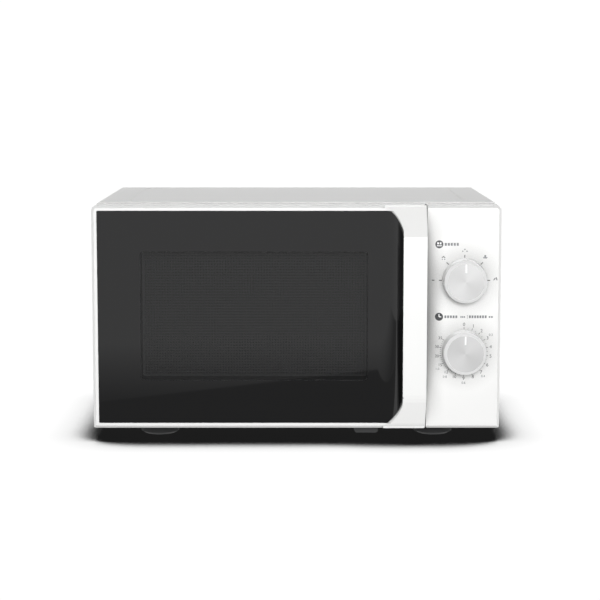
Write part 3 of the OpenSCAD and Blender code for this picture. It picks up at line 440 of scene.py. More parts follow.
@dataclass(frozen=True)
class Finishes:
    """Every finish of the oven, each named for what the real surface is and for any painted shade in it."""

    # Injection-moulded ABS, polished tool: bright white, soft wide highlights; painted shade in hollows
    abs_white: Finish = Finish("abs_white_polished", "f6f6f5", 0.22, ior=1.53, grain_mm=1.6,
                               relief_mm=0.004, mottle=0.012, gloss_change=0.02, bevel_mm=0.2,
                               shade=0.6)
    # Polyester powder coat on steel: satin white with a faint orange-peel
    powder_white: Finish = Finish("powder_coat_white", "ededec", 0.38, grain_mm=1.4, relief_mm=0.02,
                                  mottle=0.015, gloss_change=0.05, bevel_mm=0.4)
    # Grey baked enamel of the cavity: semi-gloss, easy to wipe, a little uneven
    cavity_enamel: Finish = Finish("cavity_enamel_grey", "c9cbca", 0.32, grain_mm=1.1, relief_mm=0.02,
                                   mottle=0.05)
    # Base plate coloured near black as painted shade, for the shade beneath the oven; dull
    base_painted_shade: Finish = Finish("base_charcoal_painted_shade", "1c1d1e", 0.6, grain_mm=0.9, relief_mm=0.015,
                                 mottle=0.08)
    # Hot-dip galvanised sheet: cool grey with soft spangles
    galvanised: Finish = Finish("galvanised_sheet", "b4b7ba", 0.38, metallic=1.0, grain_mm=6.0,
                                relief_mm=0.004, mottle=0.16, mottle_mm=9.0, gloss_change=0.10)
    # Black lacquered acrylic face: deep black with mirror-like reflections
    black_face: Finish = Finish("acrylic_black_polished", "050506", 0.035, ior=1.49, grain_mm=30.0,
                                relief_mm=0.002, mottle=0.1, gloss_change=0.012)
    # Dark tinted acrylic of the window: lets the screen behind show faintly
    tinted_window: Finish = Finish("acrylic_tinted", "020203", 0.035, ior=1.52, grain_mm=30.0,
                                   relief_mm=0.002, mottle=0.1, gloss_change=0.012, alpha=0.62)
    # Grey enamelled perforated steel seen through the window
    screen_enamel: Finish = Finish("perforated_steel_enamel", "c6c8c8", 0.45, grain_mm=0.6, relief_mm=0.01,
                                   mottle=0.06)
    # Enamelled door plate: dark, satin
    plate_enamel: Finish = Finish("door_plate_enamel", "3a3b3d", 0.42, grain_mm=1.0, relief_mm=0.012,
                                  mottle=0.08)
    # Fine-eroded polypropylene: matte grey-black that hides finger marks
    pp_charcoal: Finish = Finish("polypropylene_charcoal", "2b2c2e", 0.55, grain_mm=0.5, relief_mm=0.02,
                                 mottle=0.06)
    # Clear polyester film over the window: thin, glossy and almost unseen
    film: Finish = Finish("polyester_film_clear", "f2f6f8", 0.05, ior=1.45, grain_mm=25.0, relief_mm=0.004,
                          alpha=0.16)
    # Thermoplastic rubber feet: dark grey and dull, darkened further as painted shade under the oven
    rubber_dark_with_painted_shade: Finish = Finish("rubber_dark_grey_painted_shade", "0e0f10", 0.85, grain_mm=0.4, relief_mm=0.03,
                                 mottle=0.10, mottle_mm=12.0)
    # Black grommet rubber
    rubber_black: Finish = Finish("rubber_black", "1b1b1c", 0.6, grain_mm=0.4, relief_mm=0.03, mottle=0.1)
    # Satin-painted knob skirt: light silver-white
    knob_skirt: Finish = Finish("knob_lacquer_silver_white", "f2f2f2", 0.26, grain_mm=0.9,
                                relief_mm=0.004, mottle=0.02, coat=0.5, bevel_mm=0.3)
    # Bright drawn steel of shafts, screws and springs
    bright_steel: Finish = Finish("steel_bright_drawn", "c6c7c9", 0.25, metallic=1.0, grain_mm=0.6,
                                  relief_mm=0.004, mottle=0.05, grain=Grain.BRUSHED_Z)
    # Milled aluminium of the fins and the capacitor can
    mill_aluminium: Finish = Finish("aluminium_mill", "d2d4d6", 0.34, metallic=1.0, grain_mm=0.7,
                                    relief_mm=0.006, mottle=0.06, grain=Grain.BRUSHED_X)
    # Natural nylon of the latch and the switch board: milky and waxy
    nylon_natural: Finish = Finish("nylon_natural", "e8e2d2", 0.45, grain_mm=0.8, relief_mm=0.012,
                                   mottle=0.05)
    # White acetal of the rollers, ring and coupler
    acetal_white: Finish = Finish("acetal_white", "efeeea", 0.36, grain_mm=0.9, relief_mm=0.008, mottle=0.03)
    # Grey polypropylene of the duct and the fan blades
    pp_grey: Finish = Finish("polypropylene_grey", "9a9da0", 0.5, grain_mm=0.7, relief_mm=0.015, mottle=0.05)
    # Red switch plungers
    plunger_red: Finish = Finish("acetal_red", "b4261c", 0.35, grain_mm=0.5, relief_mm=0.006)
    # PVC sleeving of the internal leads
    lead_red: Finish = Finish("pvc_sleeve_red", "a82a22", 0.42, grain_mm=0.6, relief_mm=0.01)
    # Pink alumina of the antenna insulator
    alumina_pink: Finish = Finish("alumina_pink", "d9a39c", 0.3, grain_mm=0.4, relief_mm=0.006)
    # Brown phenolic of the thermal cut-outs
    phenolic: Finish = Finish("phenolic_brown", "6b4a34", 0.5, grain_mm=0.6, relief_mm=0.01, mottle=0.1)
    # Pressed mica sheet: flaky, silver-brown
    mica: Finish = Finish("mica_sheet", "b09a78", 0.35, grain_mm=2.2, relief_mm=0.03, mottle=0.3,
                          mottle_mm=6.0, gloss_change=0.12)
    # Varnished enamelled copper wire, wound close
    copper_winding: Banded = Banded("copper_wire_varnished", "b5612f", 0.34, metallic=1.0, band_mm=0.9,
                                    band_depth_mm=0.25)
    # Stacked silicon-steel plates with a weld scale: dark, layered
    laminations: Banded = Banded("core_laminations", "4c4d50", 0.5, metallic=0.8, band_mm=0.7,
                                 band_depth_mm=0.15, direction="Y")
    # Green glass-epoxy board with a solder mask
    board: Finish = Finish("board_solder_mask", "1d5a34", 0.28, grain_mm=3.0, relief_mm=0.03, mottle=0.35,
                           mottle_mm=4.0)
    # Tempered glass tray, thick, slightly green at the edge
    tray_glass: ClearGlass = ClearGlass("glass_tempered", "f1f8f5", 0.02, ior=1.52, grain_mm=8.0,
                                        relief_mm=0.02, mottle=0.02, gloss_change=0.01)
    # Blown glass of the lamp
    lamp_glass: ClearGlass = ClearGlass("glass_lamp_bulb", "fbf6ea", 0.03, ior=1.5, grain_mm=12.0,
                                        relief_mm=0.01, gloss_change=0.01)
    # Dark grey pad-print ink of the dials: flat, hardly raised
    ink_dark: Finish = Finish("print_ink_dark", "3c3d3f", 0.5, grain_mm=0.5, relief_mm=0.002, mottle=0.04)
    # Lighter ink of the small pictograms
    ink_light: Finish = Finish("print_ink_grey", "77797c", 0.5, grain_mm=0.5, relief_mm=0.002, mottle=0.04)
    # White pad-print of the pointers
    ink_white: Finish = Finish("print_ink_white", "fbfbfb", 0.4, grain_mm=0.5, relief_mm=0.002, mottle=0.01)

    def by_node(self) -> dict[str, Finish]:
        """Which finish each CAD node takes.

        Returns:
            Node name to finish, for every node that one finish covers.
        """
        groups = {
            self.abs_white: ["door_frame", "control_panel"],
            self.powder_white: ["outer_cover"],
            self.cavity_enamel: ["cavity_shell", "front_plate"],
            self.base_painted_shade: ["base_plate"],
            self.galvanised: ["back_plate", "upper_hinge", "lower_hinge", "magnetron_yoke",
                              "waveguide", "capacitor_clamp", "turntable_motor", "timer_bell"],
            self.black_face: ["door_panel"],
            self.screen_enamel: ["door_screen"],
            self.plate_enamel: ["door_inner_plate"],
            self.pp_charcoal: ["choke_cover", "door_switches", "fan_motor", "diode"],
            self.film: ["inner_film"],
            self.rubber_dark_with_painted_shade: ["front_feet", "rear_feet"],
            self.rubber_black: ["cord_gland"],
            self.knob_skirt: ["power_knob", "timer_knob"],
            self.bright_steel: ["power_shaft", "timer_shaft", "latch_spring", "screws"],
            self.mill_aluminium: ["magnetron_fins", "capacitor"],
            self.nylon_natural: ["power_selector", "timer_unit", "interlock_board", "latch_hooks",
                                 "lamp_holder", "fan_shroud"],
            self.acetal_white: ["roller_ring", "roller_a", "roller_b", "roller_c", "drive_coupler"],
            self.pp_grey: ["air_duct", "fan_blade"],
            self.plunger_red: ["upper_plunger", "middle_plunger", "lower_plunger"],
            self.lead_red: ["wiring"],
            self.alumina_pink: ["magnetron_antenna"],
            self.phenolic: ["thermal_cutouts"],
            self.mica: ["waveguide_cover"],
            self.copper_winding: ["transformer_windings"],
            self.laminations: ["transformer_core"],
            self.board: ["filter_board"],
            self.tray_glass: ["turntable_glass"],
            self.lamp_glass: ["cavity_lamp"],
        }
        return {node: finish for finish, nodes in groups.items() for node in nodes}


# ------------------------------------------------------------ sub-assemblies


@dataclass
class DoorFace:
    """Glossy face of the door with its concave sweep, and the tinted window let into it.

    Sizes are in metres and follow the CAD panel, which the face replaces.
    """

    finishes: Finishes
    sweep_w: float = 26 * MM
    handle_out: float = 19 * MM
    ramp_top: float = 32.5 * MM
    ramp_low: float = 35 * MM
    edge_drop: float = 1.08 * MM
    thickness: float = 1.5 * MM
    frame_margin: float = 5 * MM
    seam: float = 0.25 * MM
    corner_r: float = 4 * MM
    panel_corner_r: float = 2 * MM
    sunk: float = 0.2 * MM
    lap: float = 1.5 * MM
    low_edge: float = 2.2 * MM
    low_curve: float = 0.94
    under_frame: float = 0.985
    split_deg: float = 35.0
    sweep_steps: int = 56
    low: Vector = field(init=False)
    high: Vector = field(init=False)
    door_low: Vector = field(init=False)
    door_high: Vector = field(init=False)
    plane: float = field(init=False)

    def __post_init__(self) -> None:
        """Reads the panel's place from the frame."""
        self.low, self.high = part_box("door_panel")
        self.door_low, self.door_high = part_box("door_frame")
        self.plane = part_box("control_panel")[0].y - self.sunk

    def window(self) -> tuple[float, float, float, float]:
        """Places the window within the screen's border.

        Returns:
            Its centre along X and Z, its width and its height.
        """
        low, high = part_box("door_screen")
        mid = (low + high) / 2
        return (mid.x, mid.z, high.x - low.x - 2 * self.frame_margin,
                high.z - low.z - 2 * self.frame_margin)

    def column(self, s: float) -> tuple[float, float, float]:
        """Where the sweep stands at a share of its width.

        Args:
            s: 0 where it leaves the flat face, 1 at the handle.

        Returns:
            How far it stands out, and its lower and upper ends.
        """
        radius = (self.sweep_w ** 2 + self.handle_out ** 2) / (2 * self.handle_out)
        out = radius - math.sqrt(radius ** 2 - (s * self.sweep_w) ** 2)
        share = min(out / self.handle_out, 1.0)
        top = self.door_high.z - self.edge_drop - (self.ramp_top - self.edge_drop) * share
        rise = self.ramp_low + 1 * MM - self.low_edge
        bottom = self.door_low.z + self.low_edge + rise * share ** self.low_curve
        return out, max(bottom, self.low.z), min(top, self.high.z)

    def face(self) -> Object:
        """Builds the black face with its window opening and its sweep.

        Returns:
            The face piece.
        """
        bm = bmesh.new()
        y = self.plane
        x0, x1 = self.low.x, self.high.x - self.sweep_w + self.sunk
        z0, z1 = self.low.z, self.high.z
        wx, wz, ww, wh = self.window()
        flat_x = x1 - self.lap
        outer = []
        for px, pz in round_rect(flat_x - x0, z1 - z0, self.panel_corner_r):
            mx, mz = (x0 + flat_x) / 2 + px, (z0 + z1) / 2 + pz
            if px > 0:
                mx, mz = flat_x, z1 if pz > 0 else z0
            if not outer or (outer[-1] - Vector((mx, y, mz))).length > 1e-7:
                outer.append(Vector((mx, y, mz)))
        hole = [Vector((wx + px, y, wz + pz)) for px, pz in
                round_rect(ww + 2 * self.seam, wh + 2 * self.seam, self.corner_r)]
        edges = []
        for loop in (outer, hole):
            verts = [bm.verts.new(p) for p in loop]
            edges += [bm.edges.new((verts[i], verts[(i + 1) % len(verts)])) for i in range(len(verts))]
        bmesh.ops.triangle_fill(bm, edges=edges, use_beauty=True)
        strips = [(flat_x, y, z0, z1), (x1, y, z0, z1)]
        for i in range(1, self.sweep_steps + 1):
            s = i / self.sweep_steps
            out, zl, zh = self.column(s)
            strips.append((x1 + s * (self.sweep_w - 0.5 * MM), y - out * self.under_frame, zl, zh))
        rows = [[bm.verts.new((sx, sy, zl)), bm.verts.new((sx, sy, zh))] for sx, sy, zl, zh in strips]
        for a, b in zip(rows, rows[1:]):
            bm.faces.new((a[0], b[0], b[1], a[1]))
        bmesh.ops.remove_doubles(bm, verts=bm.verts, dist=1e-6)
        face_front(bm)
        piece = mesh_from("door_face", bm, smooth=True)
        self.thicken(piece)
        dress(piece, self.finishes.black_face.make())
        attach(piece, "door")
        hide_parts("door_panel")
        return piece

    def thicken(self, piece: Object) -> None:
        """Gives a face sheet its thickness, backwards, and applies it.

        Args:
            piece: The sheet.
        """
        solid = piece.modifiers.new("thickness", "SOLIDIFY")
        solid.thickness = self.thickness
        solid.offset = -1.0
        solid.use_even_offset = True
        split = piece.modifiers.new("edges", "EDGE_SPLIT")
        split.split_angle = math.radians(self.split_deg)
        apply_modifiers(piece)

    def pane(self) -> Object:
        """Builds the tinted window, flush with the face.

        Returns:
            The window piece.
        """
        wx, wz, ww, wh = self.window()
        bm = bmesh.new()
        prism(bm, round_rect(ww, wh, self.corner_r), wx, wz, self.plane, self.plane + self.thickness)
        piece = mesh_from("door_window", bm)
        dress(piece, self.finishes.tinted_window.make())
        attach(piece, "door")
        return piece

    def build(self) -> list[Object]:
        """Builds the face and the pane, in that order."""
        return [self.face(), self.pane()]


# Each corner of a screen's cell takes two sides of its hole
HOLE_SIDES = 8


@dataclass
class PerforatedScreen:
    """Steel screen behind the window, pierced with round holes in square rows."""

    finishes: Finishes
    pitch: float = 3.0 * MM
    hole: float = 2.1 * MM
    border: float = 7 * MM

    def build(self) -> list[Object]:
        """Builds the sheet as one cell round each hole, and a plain border.

        Returns:
            The screen piece.
        """
        low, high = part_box("door_screen")
        x0, x1, z0, z1 = low.x + self.border, high.x - self.border, low.z + self.border, high.z - self.border
        columns = int((x1 - x0) / self.pitch)
        rows = int((z1 - z0) / self.pitch)
        step_x, step_z = (x1 - x0) / columns, (z1 - z0) / rows
        bm = bmesh.new()
        for i in range(columns):
            for j in range(rows):
                self.cell(bm, x0 + i * step_x, z0 + j * step_z, step_x, step_z, low.y)
        for a, b in (((low.x, low.z), (high.x, z0)), ((low.x, z1), (high.x, high.z)),
                     ((low.x, z0), (x0, z1)), ((x1, z0), (high.x, z1))):
            corners = ((a[0], a[1]), (b[0], a[1]), (b[0], b[1]), (a[0], b[1]))
            bm.faces.new([bm.verts.new((x, low.y, z)) for x, z in corners])
        bmesh.ops.remove_doubles(bm, verts=bm.verts, dist=1e-6)
        face_front(bm)
        piece = mesh_from("door_screen_pierced", bm)
        solid = piece.modifiers.new("thickness", "SOLIDIFY")
        solid.thickness = high.y - low.y
        solid.offset = -1.0
        apply_modifiers(piece)
        dress(piece, self.finishes.screen_enamel.make())
        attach(piece, "door")
        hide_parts("door_screen")
        return [piece]

    def cell(self, bm: bmesh.types.BMesh, x: float, z: float, w: float, h: float, y: float) -> None:
        """Adds one square cell with its hole.

        Args:
            bm: The bmesh to add to.
            x: Left edge.
            z: Lower edge.
            w: Width.
            h: Height.
            y: Plane of the sheet.
        """
        cx, cz = x + w / 2, z + h / 2
        corners = [(x + w, z + h), (x, z + h), (x, z), (x + w, z)]
        ring = []
        for k in range(HOLE_SIDES):
            angle = math.tau * (k + 0.5) / HOLE_SIDES
            ring.append(bm.verts.new((cx + self.hole / 2 * math.cos(angle), y,
                                      cz + self.hole / 2 * math.sin(angle))))
        outer = [bm.verts.new((px, y, pz)) for px, pz in corners]
        for k in range(4):
            a, b, c = ring[2 * k], ring[2 * k + 1], ring[(2 * k + 2) % HOLE_SIDES]
            bm.faces.new((outer[k], b, a))
            bm.faces.new((outer[k], outer[(k + 1) % 4], c, b))


@dataclass
class KnobTrim:
    """Spun disc finish, with painted light fans, and white pointer of one knob."""

    finishes: Finishes
    disc: str
    body: str
    pointer_w: float = 1.8 * MM
    pointer_in: float = 10.0 * MM
    pointer_out: float = 19.0 * MM
    pointer_round: float = 0.25
    raised: float = 0.06 * MM

    def build(self) -> list[Object]:
        """Dresses the disc and lays the pointer on it.

        Returns:
            The pointer piece.
        """
        low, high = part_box(self.disc)
        mid = (low + high) / 2
        # The spun disc's colour carries painted light fans
        finish = SpunMetal(f"aluminium_spun_painted_sheen_{self.body}", "c3c3c3", 0.38, metallic=0.15, grain_mm=0.5,
                           relief_mm=0.003, mottle=0.02, centre_at=tuple(mid))
        dress(frame["nodes"][self.disc], finish.make())
        bm = bmesh.new()
        length = self.pointer_out - self.pointer_in
        outline = round_rect(self.pointer_w, length, self.pointer_w * self.pointer_round, 3)
        prism(bm, outline, mid.x, mid.z + self.pointer_in + length / 2,
              low.y - self.raised, low.y + self.raised)
        pointer = mesh_from(f"{self.body}_pointer", bm)
        dress(pointer, self.finishes.ink_white.make())
        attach(pointer, self.body)
        return [pointer]


@dataclass(frozen=True)
class Dial:
    """Centre of a printed dial on the control panel."""

    x: float
    z: float


@dataclass
class DialPrint:
    """Pad-printed dials of the two knobs, laid on the panel's real surface."""

    finishes: Finishes
    raised: float = 0.05 * MM
    tick_w: float = 0.9 * MM
    numeral_h: float = 3.6 * MM
    numeral_r: float = 29.4 * MM
    weight_h: float = 2.5 * MM
    halved: int = 10
    mark_step_deg: float = 20.0
    numerals: tuple[str, ...] = ("0", "1", "2", "3", "4", "5", "6", "7", "8", "9", "10", "12", "15", "20",
                                 "30", "35")
    weights: tuple[tuple[float, str], ...] = ((58, "0.2"), (142, "0.4"), (180, "0.6"), (216, "0.8"),
                                              (236, "1.0"))
    badge_r: float = 4.3 * MM
    clear_lift: float = 1.7
    dark: bmesh.types.BMesh = field(init=False)
    light: bmesh.types.BMesh = field(init=False)
    clear: bmesh.types.BMesh = field(init=False)
    power: Dial = field(init=False)
    timer: Dial = field(init=False)

    def __post_init__(self) -> None:
        """Starts the three inks and finds the dials."""
        self.dark, self.light, self.clear = bmesh.new(), bmesh.new(), bmesh.new()
        power, timer = centre("power_knob"), centre("timer_knob")
        self.power, self.timer = Dial(power.x, power.z), Dial(timer.x, timer.z)

    def patch(self, ink: bmesh.types.BMesh, points: list[tuple[float, float]]) -> None:
        """Adds one flat face from its outline in X and Z."""
        ink.faces.new([ink.verts.new((x, 0, z)) for x, z in points])

    def bar(self, ink: bmesh.types.BMesh, dial: Dial, radius: float, length: float, width: float,
            turn: float, across: float = 0.0) -> None:
        """Adds a straight bar that points at the dial's centre.

        Args:
            ink: The ink to add to.
            dial: The dial's centre.
            radius: Distance of the bar's middle from the centre.
            length: Along the radius.
            width: Across the radius.
            turn: Clockwise angle from 12 o'clock, in degrees.
            across: Sideways shift.
        """
        a = math.radians(turn)
        u, v = (math.sin(a), math.cos(a)), (math.cos(a), -math.sin(a))
        cx = dial.x + radius * u[0] + across * v[0]
        cz = dial.z + radius * u[1] + across * v[1]
        corners = [(length / 2, width / 2), (length / 2, -width / 2), (-length / 2, -width / 2),
                   (-length / 2, width / 2)]
        self.patch(ink, [(cx + p * u[0] + q * v[0], cz + p * u[1] + q * v[1]) for p, q in corners])

    def disc(self, ink: bmesh.types.BMesh, x: float, z: float, radius: float) -> None:
        """Adds a disc, in narrow rings that follow the panel's own curve.

        Args:
            ink: The ink to add to.
            x: Its centre along X.
            z: Its centre along Z.
            radius: Its radius.
        """
        rings, sides = 6, 36
        loops = []
        for i in range(rings + 1):
            r = radius * i / rings
            loops.append([ink.verts.new((x + r * math.cos(math.tau * k / sides), 0,
                                         z + r * math.sin(math.tau * k / sides))) for k in range(sides)])
        for a, b in zip(loops, loops[1:]):
            for k in range(sides):
                n = (k + 1) % sides
                ink.faces.new((a[k], a[n], b[n], b[k]))
        bmesh.ops.remove_doubles(ink, verts=loops[0], dist=1e-7)

    def figure(self, ink: bmesh.types.BMesh, words: str, x: float, z: float, height: float) -> None:
        """Adds numerals centred on a point.

        Args:
            ink: The ink to add to.
            words: The numerals.
            x: Their middle along X.
            z: Their middle along Z.
            height: Their height.
        """
        curve = bpy.data.curves.new("figure", "FONT")
        curve.body, curve.size = words, height / 0.7
        curve.align_x, curve.align_y = "CENTER", "CENTER"
        curve.resolution_u = 4
        holder = link_object("figure", curve)
        graph = bpy.context.evaluated_depsgraph_get()
        mesh = bpy.data.meshes.new_from_object(holder.evaluated_get(graph))
        mesh.transform(Matrix.Translation((x, 0, z)) @ Matrix.Rotation(math.pi / 2, 4, "X"))
        ink.from_mesh(mesh)
        bpy.data.objects.remove(holder)
        bpy.data.meshes.remove(mesh)

    def power_dial(self) -> None:
        """Draws five ticks, each with a small pictogram."""
        for turn in (-90, -45, 0, 45, 90):
            self.bar(self.dark, self.power, 25.9 * MM, 3.2 * MM, self.tick_w, turn)
        self.cook_levels()

    def cook_levels(self) -> None:
        """Draws the pictograms outside the ticks, from lowest to highest power."""
        dial, ink = self.power, self.light
        # Bar for low, roof and pot, three sparks, bowl with steam, rising peak for high
        self.bar(self.dark, dial, 33.6 * MM, 2.6 * MM, 1.0 * MM, -90)
        at = self.spot(dial, 33.4 * MM, -43)
        for s in (-1, 1):
            self.patch(self.dark, [(at[0], at[1] + 1.9 * MM), (at[0] + s * 2.1 * MM, at[1] + 0.1 * MM),
                                   (at[0] + s * 1.3 * MM, at[1] - 0.3 * MM), (at[0], at[1] + 0.8 * MM)][::s])
            self.disc(ink, at[0] + s * 1.3 * MM, at[1] - 1.7 * MM, 0.6 * MM)
        at = self.spot(dial, 32.4 * MM, 0)
        self.disc(ink, at[0], at[1] + 1.0 * MM, 0.7 * MM)
        for s in (-1, 1):
            self.disc(ink, at[0] + s * 2.3 * MM, at[1] - 1.0 * MM, 0.7 * MM)
        at = self.spot(dial, 33.4 * MM, 41)
        self.disc(ink, at[0], at[1] + 1.1 * MM, 1.1 * MM)
        self.patch(ink, [(at[0] - 2.6 * MM, at[1] - 0.2 * MM), (at[0] + 2.6 * MM, at[1] - 0.2 * MM),
                         (at[0] + 1.7 * MM, at[1] - 1.5 * MM), (at[0] - 1.7 * MM, at[1] - 1.5 * MM)])
        at = self.spot(dial, 33.0 * MM, 87)
        self.patch(ink, [(at[0] - 2.4 * MM, at[1] - 1.6 * MM), (at[0] - 0.4 * MM, at[1] + 1.2 * MM),
                         (at[0] + 0.6 * MM, at[1] + 0.4 * MM), (at[0] - 1.2 * MM, at[1] - 1.6 * MM)])
        self.patch(ink, [(at[0] + 0.5 * MM, at[1] + 1.7 * MM), (at[0] + 1.5 * MM, at[1] + 1.7 * MM),
                         (at[0] + 2.5 * MM, at[1] - 1.6 * MM), (at[0] + 1.3 * MM, at[1] - 1.6 * MM)])

    def spot(self, dial: Dial, radius: float, turn: float) -> tuple[float, float]:
        """Finds a point of a dial.

        Args:
            dial: The dial's centre.
            radius: Distance from the centre.
            turn: Clockwise angle from 12 o'clock, in degrees.

        Returns:
            Its place along X and Z.
        """
        a = math.radians(turn)
        return dial.x + radius * math.sin(a), dial.z + radius * math.cos(a)

    def badge(self, x: float, z: float, bars: tuple[tuple[float, float, float, float], ...]) -> None:
        """Draws a dark disc, with light bars left clear in it.

        Args:
            x: Middle of the disc along X.
            z: Middle of the disc along Z.
            bars: Left, right, lower and upper edge of each bar, from the middle.
        """
        self.disc(self.dark, x, z, self.badge_r)
        for x0, x1, z0, z1 in bars:
            self.patch(self.clear, [(x + x0 * MM, z + z0 * MM), (x + x1 * MM, z + z0 * MM),
                                    (x + x1 * MM, z + z1 * MM), (x + x0 * MM, z + z1 * MM)])

    def caption(self, x0: float, x1: float, z: float, height: float, gaps: int) -> None:
        """Draws a plain row of small blocks in place of a caption.

        Args:
            x0: Left end.
            x1: Right end.
            z: Middle of its height.
            height: Height of a block.
            gaps: How many blocks.
        """
        pitch = (x1 - x0) / gaps
        for i in range(gaps):
            left, right = x0 + i * pitch, x0 + (i + 0.68) * pitch
            self.patch(self.light, [(left, z - height / 2), (right, z - height / 2),
                                    (right, z + height / 2), (left, z + height / 2)])

    def timer_dial(self) -> None:
        """Draws the minutes, the ticks between them and the defrost weights."""
        for i, word in enumerate(self.numerals):
            x, z = self.spot(self.timer, self.numeral_r, i * self.mark_step_deg)
            self.figure(self.dark, word, x, z, self.numeral_h * (0.86 if len(word) > 1 else 1.0))
        for i in range(len(self.numerals)):
            self.bar(self.dark, self.timer, 25.6 * MM, 2.2 * MM, 0.55 * MM, i * self.mark_step_deg)
            parts = 2 if i < self.halved else 4
            for k in range(1, parts if i + 1 < len(self.numerals) else 1):
                self.bar(self.light, self.timer, 25.2 * MM, 1.4 * MM, 0.4 * MM,
                         (i + k / parts) * self.mark_step_deg)
        for turn, word in self.weights:
            x, z = self.spot(self.timer, 34.2 * MM, turn)
            self.figure(self.light, word, x, z, self.weight_h)

    def lay(self, ink: bmesh.types.BMesh, name: str, finish: Finish, raised: float) -> Object:
        """Lays an ink's shapes on the panel and gives them a film's thickness.

        Args:
            ink: The flat shapes.
            name: The piece's name.
            finish: The ink's finish.
            raised: How far its face stands off the panel.

        Returns:
            The printed piece.
        """
        tree = BVHTree.FromObject(frame["nodes"]["control_panel"], bpy.context.evaluated_depsgraph_get())
        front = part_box("control_panel")[0].y
        for v in ink.verts:
            hit = tree.ray_cast(Vector((v.co.x, front - 5 * MM, v.co.z)), Vector((0, 1, 0)))[0]
            v.co.y = (hit.y if hit else front) - raised
        face_front(ink)
        mesh = bpy.data.meshes.new(name)
        ink.to_mesh(mesh)
        ink.free()
        piece = link_object(name, mesh)
        film = piece.modifiers.new("film", "SOLIDIFY")
        film.thickness = raised * 0.8
        film.offset = -1.0
        apply_modifiers(piece)
        dress(piece, finish.make())
        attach(piece, "chassis")
        return piece

    def build(self) -> list[Object]:
        """Draws both dials.

        Returns:
            The printed pieces.
        """
        self.power_dial()
        self.timer_dial()
        p, t = self.power, self.timer
        self.badge(p.x - 27.4 * MM, p.z + 38.9 * MM,
                   ((-2.2, -0.5, 0.0, 2.2), (0.5, 2.2, 0.0, 2.2), (-2.6, 2.6, -2.0, -1.1)))
        self.caption(p.x - 21.6 * MM, p.x - 5.6 * MM, p.z + 38.9 * MM, 3.0 * MM, 5)
        self.badge(t.x - 27.0 * MM, t.z + 37.7 * MM, ((-0.5, 0.5, 0.0, 2.8), (0.0, 2.4, -0.5, 0.5)))
        self.caption(t.x - 21.2 * MM, t.x - 6.5 * MM, t.z + 37.8 * MM, 2.8 * MM, 5)
        self.caption(t.x - 4.0 * MM, t.x + 1.5 * MM, t.z + 37.6 * MM, 1.8 * MM, 3)
        self.caption(t.x + 5.2 * MM, t.x + 25.0 * MM, t.z + 37.8 * MM, 2.8 * MM, 7)
        self.caption(t.x + 26.5 * MM, t.x + 31.5 * MM, t.z + 37.6 * MM, 1.8 * MM, 2)
        self.patch(self.light, [(t.x + 3.2 * MM, t.z + 35.9 * MM), (t.x + 3.6 * MM, t.z + 35.9 * MM),
                                (t.x + 3.6 * MM, t.z + 39.8 * MM), (t.x + 3.2 * MM, t.z + 39.8 * MM)])
        return [self.lay(self.dark, "dial_print_dark", self.finishes.ink_dark, self.raised),
                self.lay(self.light, "dial_print_grey", self.finishes.ink_light, self.raised),
                self.lay(self.clear, "dial_print_clear", self.finishes.ink_white,
                         self.raised * self.clear_lift)]


@dataclass
class LatchSpring:
    """Coil spring over the latch bar, wound from round wire."""

    finishes: Finishes
    wire_r: float = 0.5 * MM
    turns: int = 9
    steps: int = 24
    sides: int = 8

    def build(self) -> list[Object]:
        """Sweeps the wire along its helix.

        Returns:
            The spring piece, in place of its plain CAD solid.
        """
        low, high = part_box("latch_spring")
        mid = (low + high) / 2
        radius = (high.x - low.x) / 2 - self.wire_r
        bottom, top = low.z + self.wire_r, high.z - self.wire_r
        count = self.turns * self.steps
        bm = bmesh.new()
        rings = []
        for i in range(count + 1):
            turn = math.tau * i / self.steps
            out = Vector((math.cos(turn), math.sin(turn), 0))
            at = Vector((mid.x, low.y + radius + self.wire_r, 0)) + out * radius
            at.z = bottom + (top - bottom) * i / count
            rings.append([bm.verts.new(at + out * (self.wire_r * math.cos(math.tau * k / self.sides))
                                       + Vector((0, 0, self.wire_r * math.sin(math.tau * k / self.sides))))
                          for k in range(self.sides)])
        for a, b in zip(rings, rings[1:]):
            for k in range(self.sides):
                n = (k + 1) % self.sides
                bm.faces.new((a[k], a[n], b[n], b[k]))
        bm.faces.new(rings[0])
        bm.faces.new(list(reversed(rings[-1])))
        piece = mesh_from("latch_spring_coil", bm, smooth=True)
        dress(piece, self.finishes.bright_steel.make())
        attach(piece, "door")
        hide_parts("latch_spring")
        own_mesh(piece)
        return [piece]


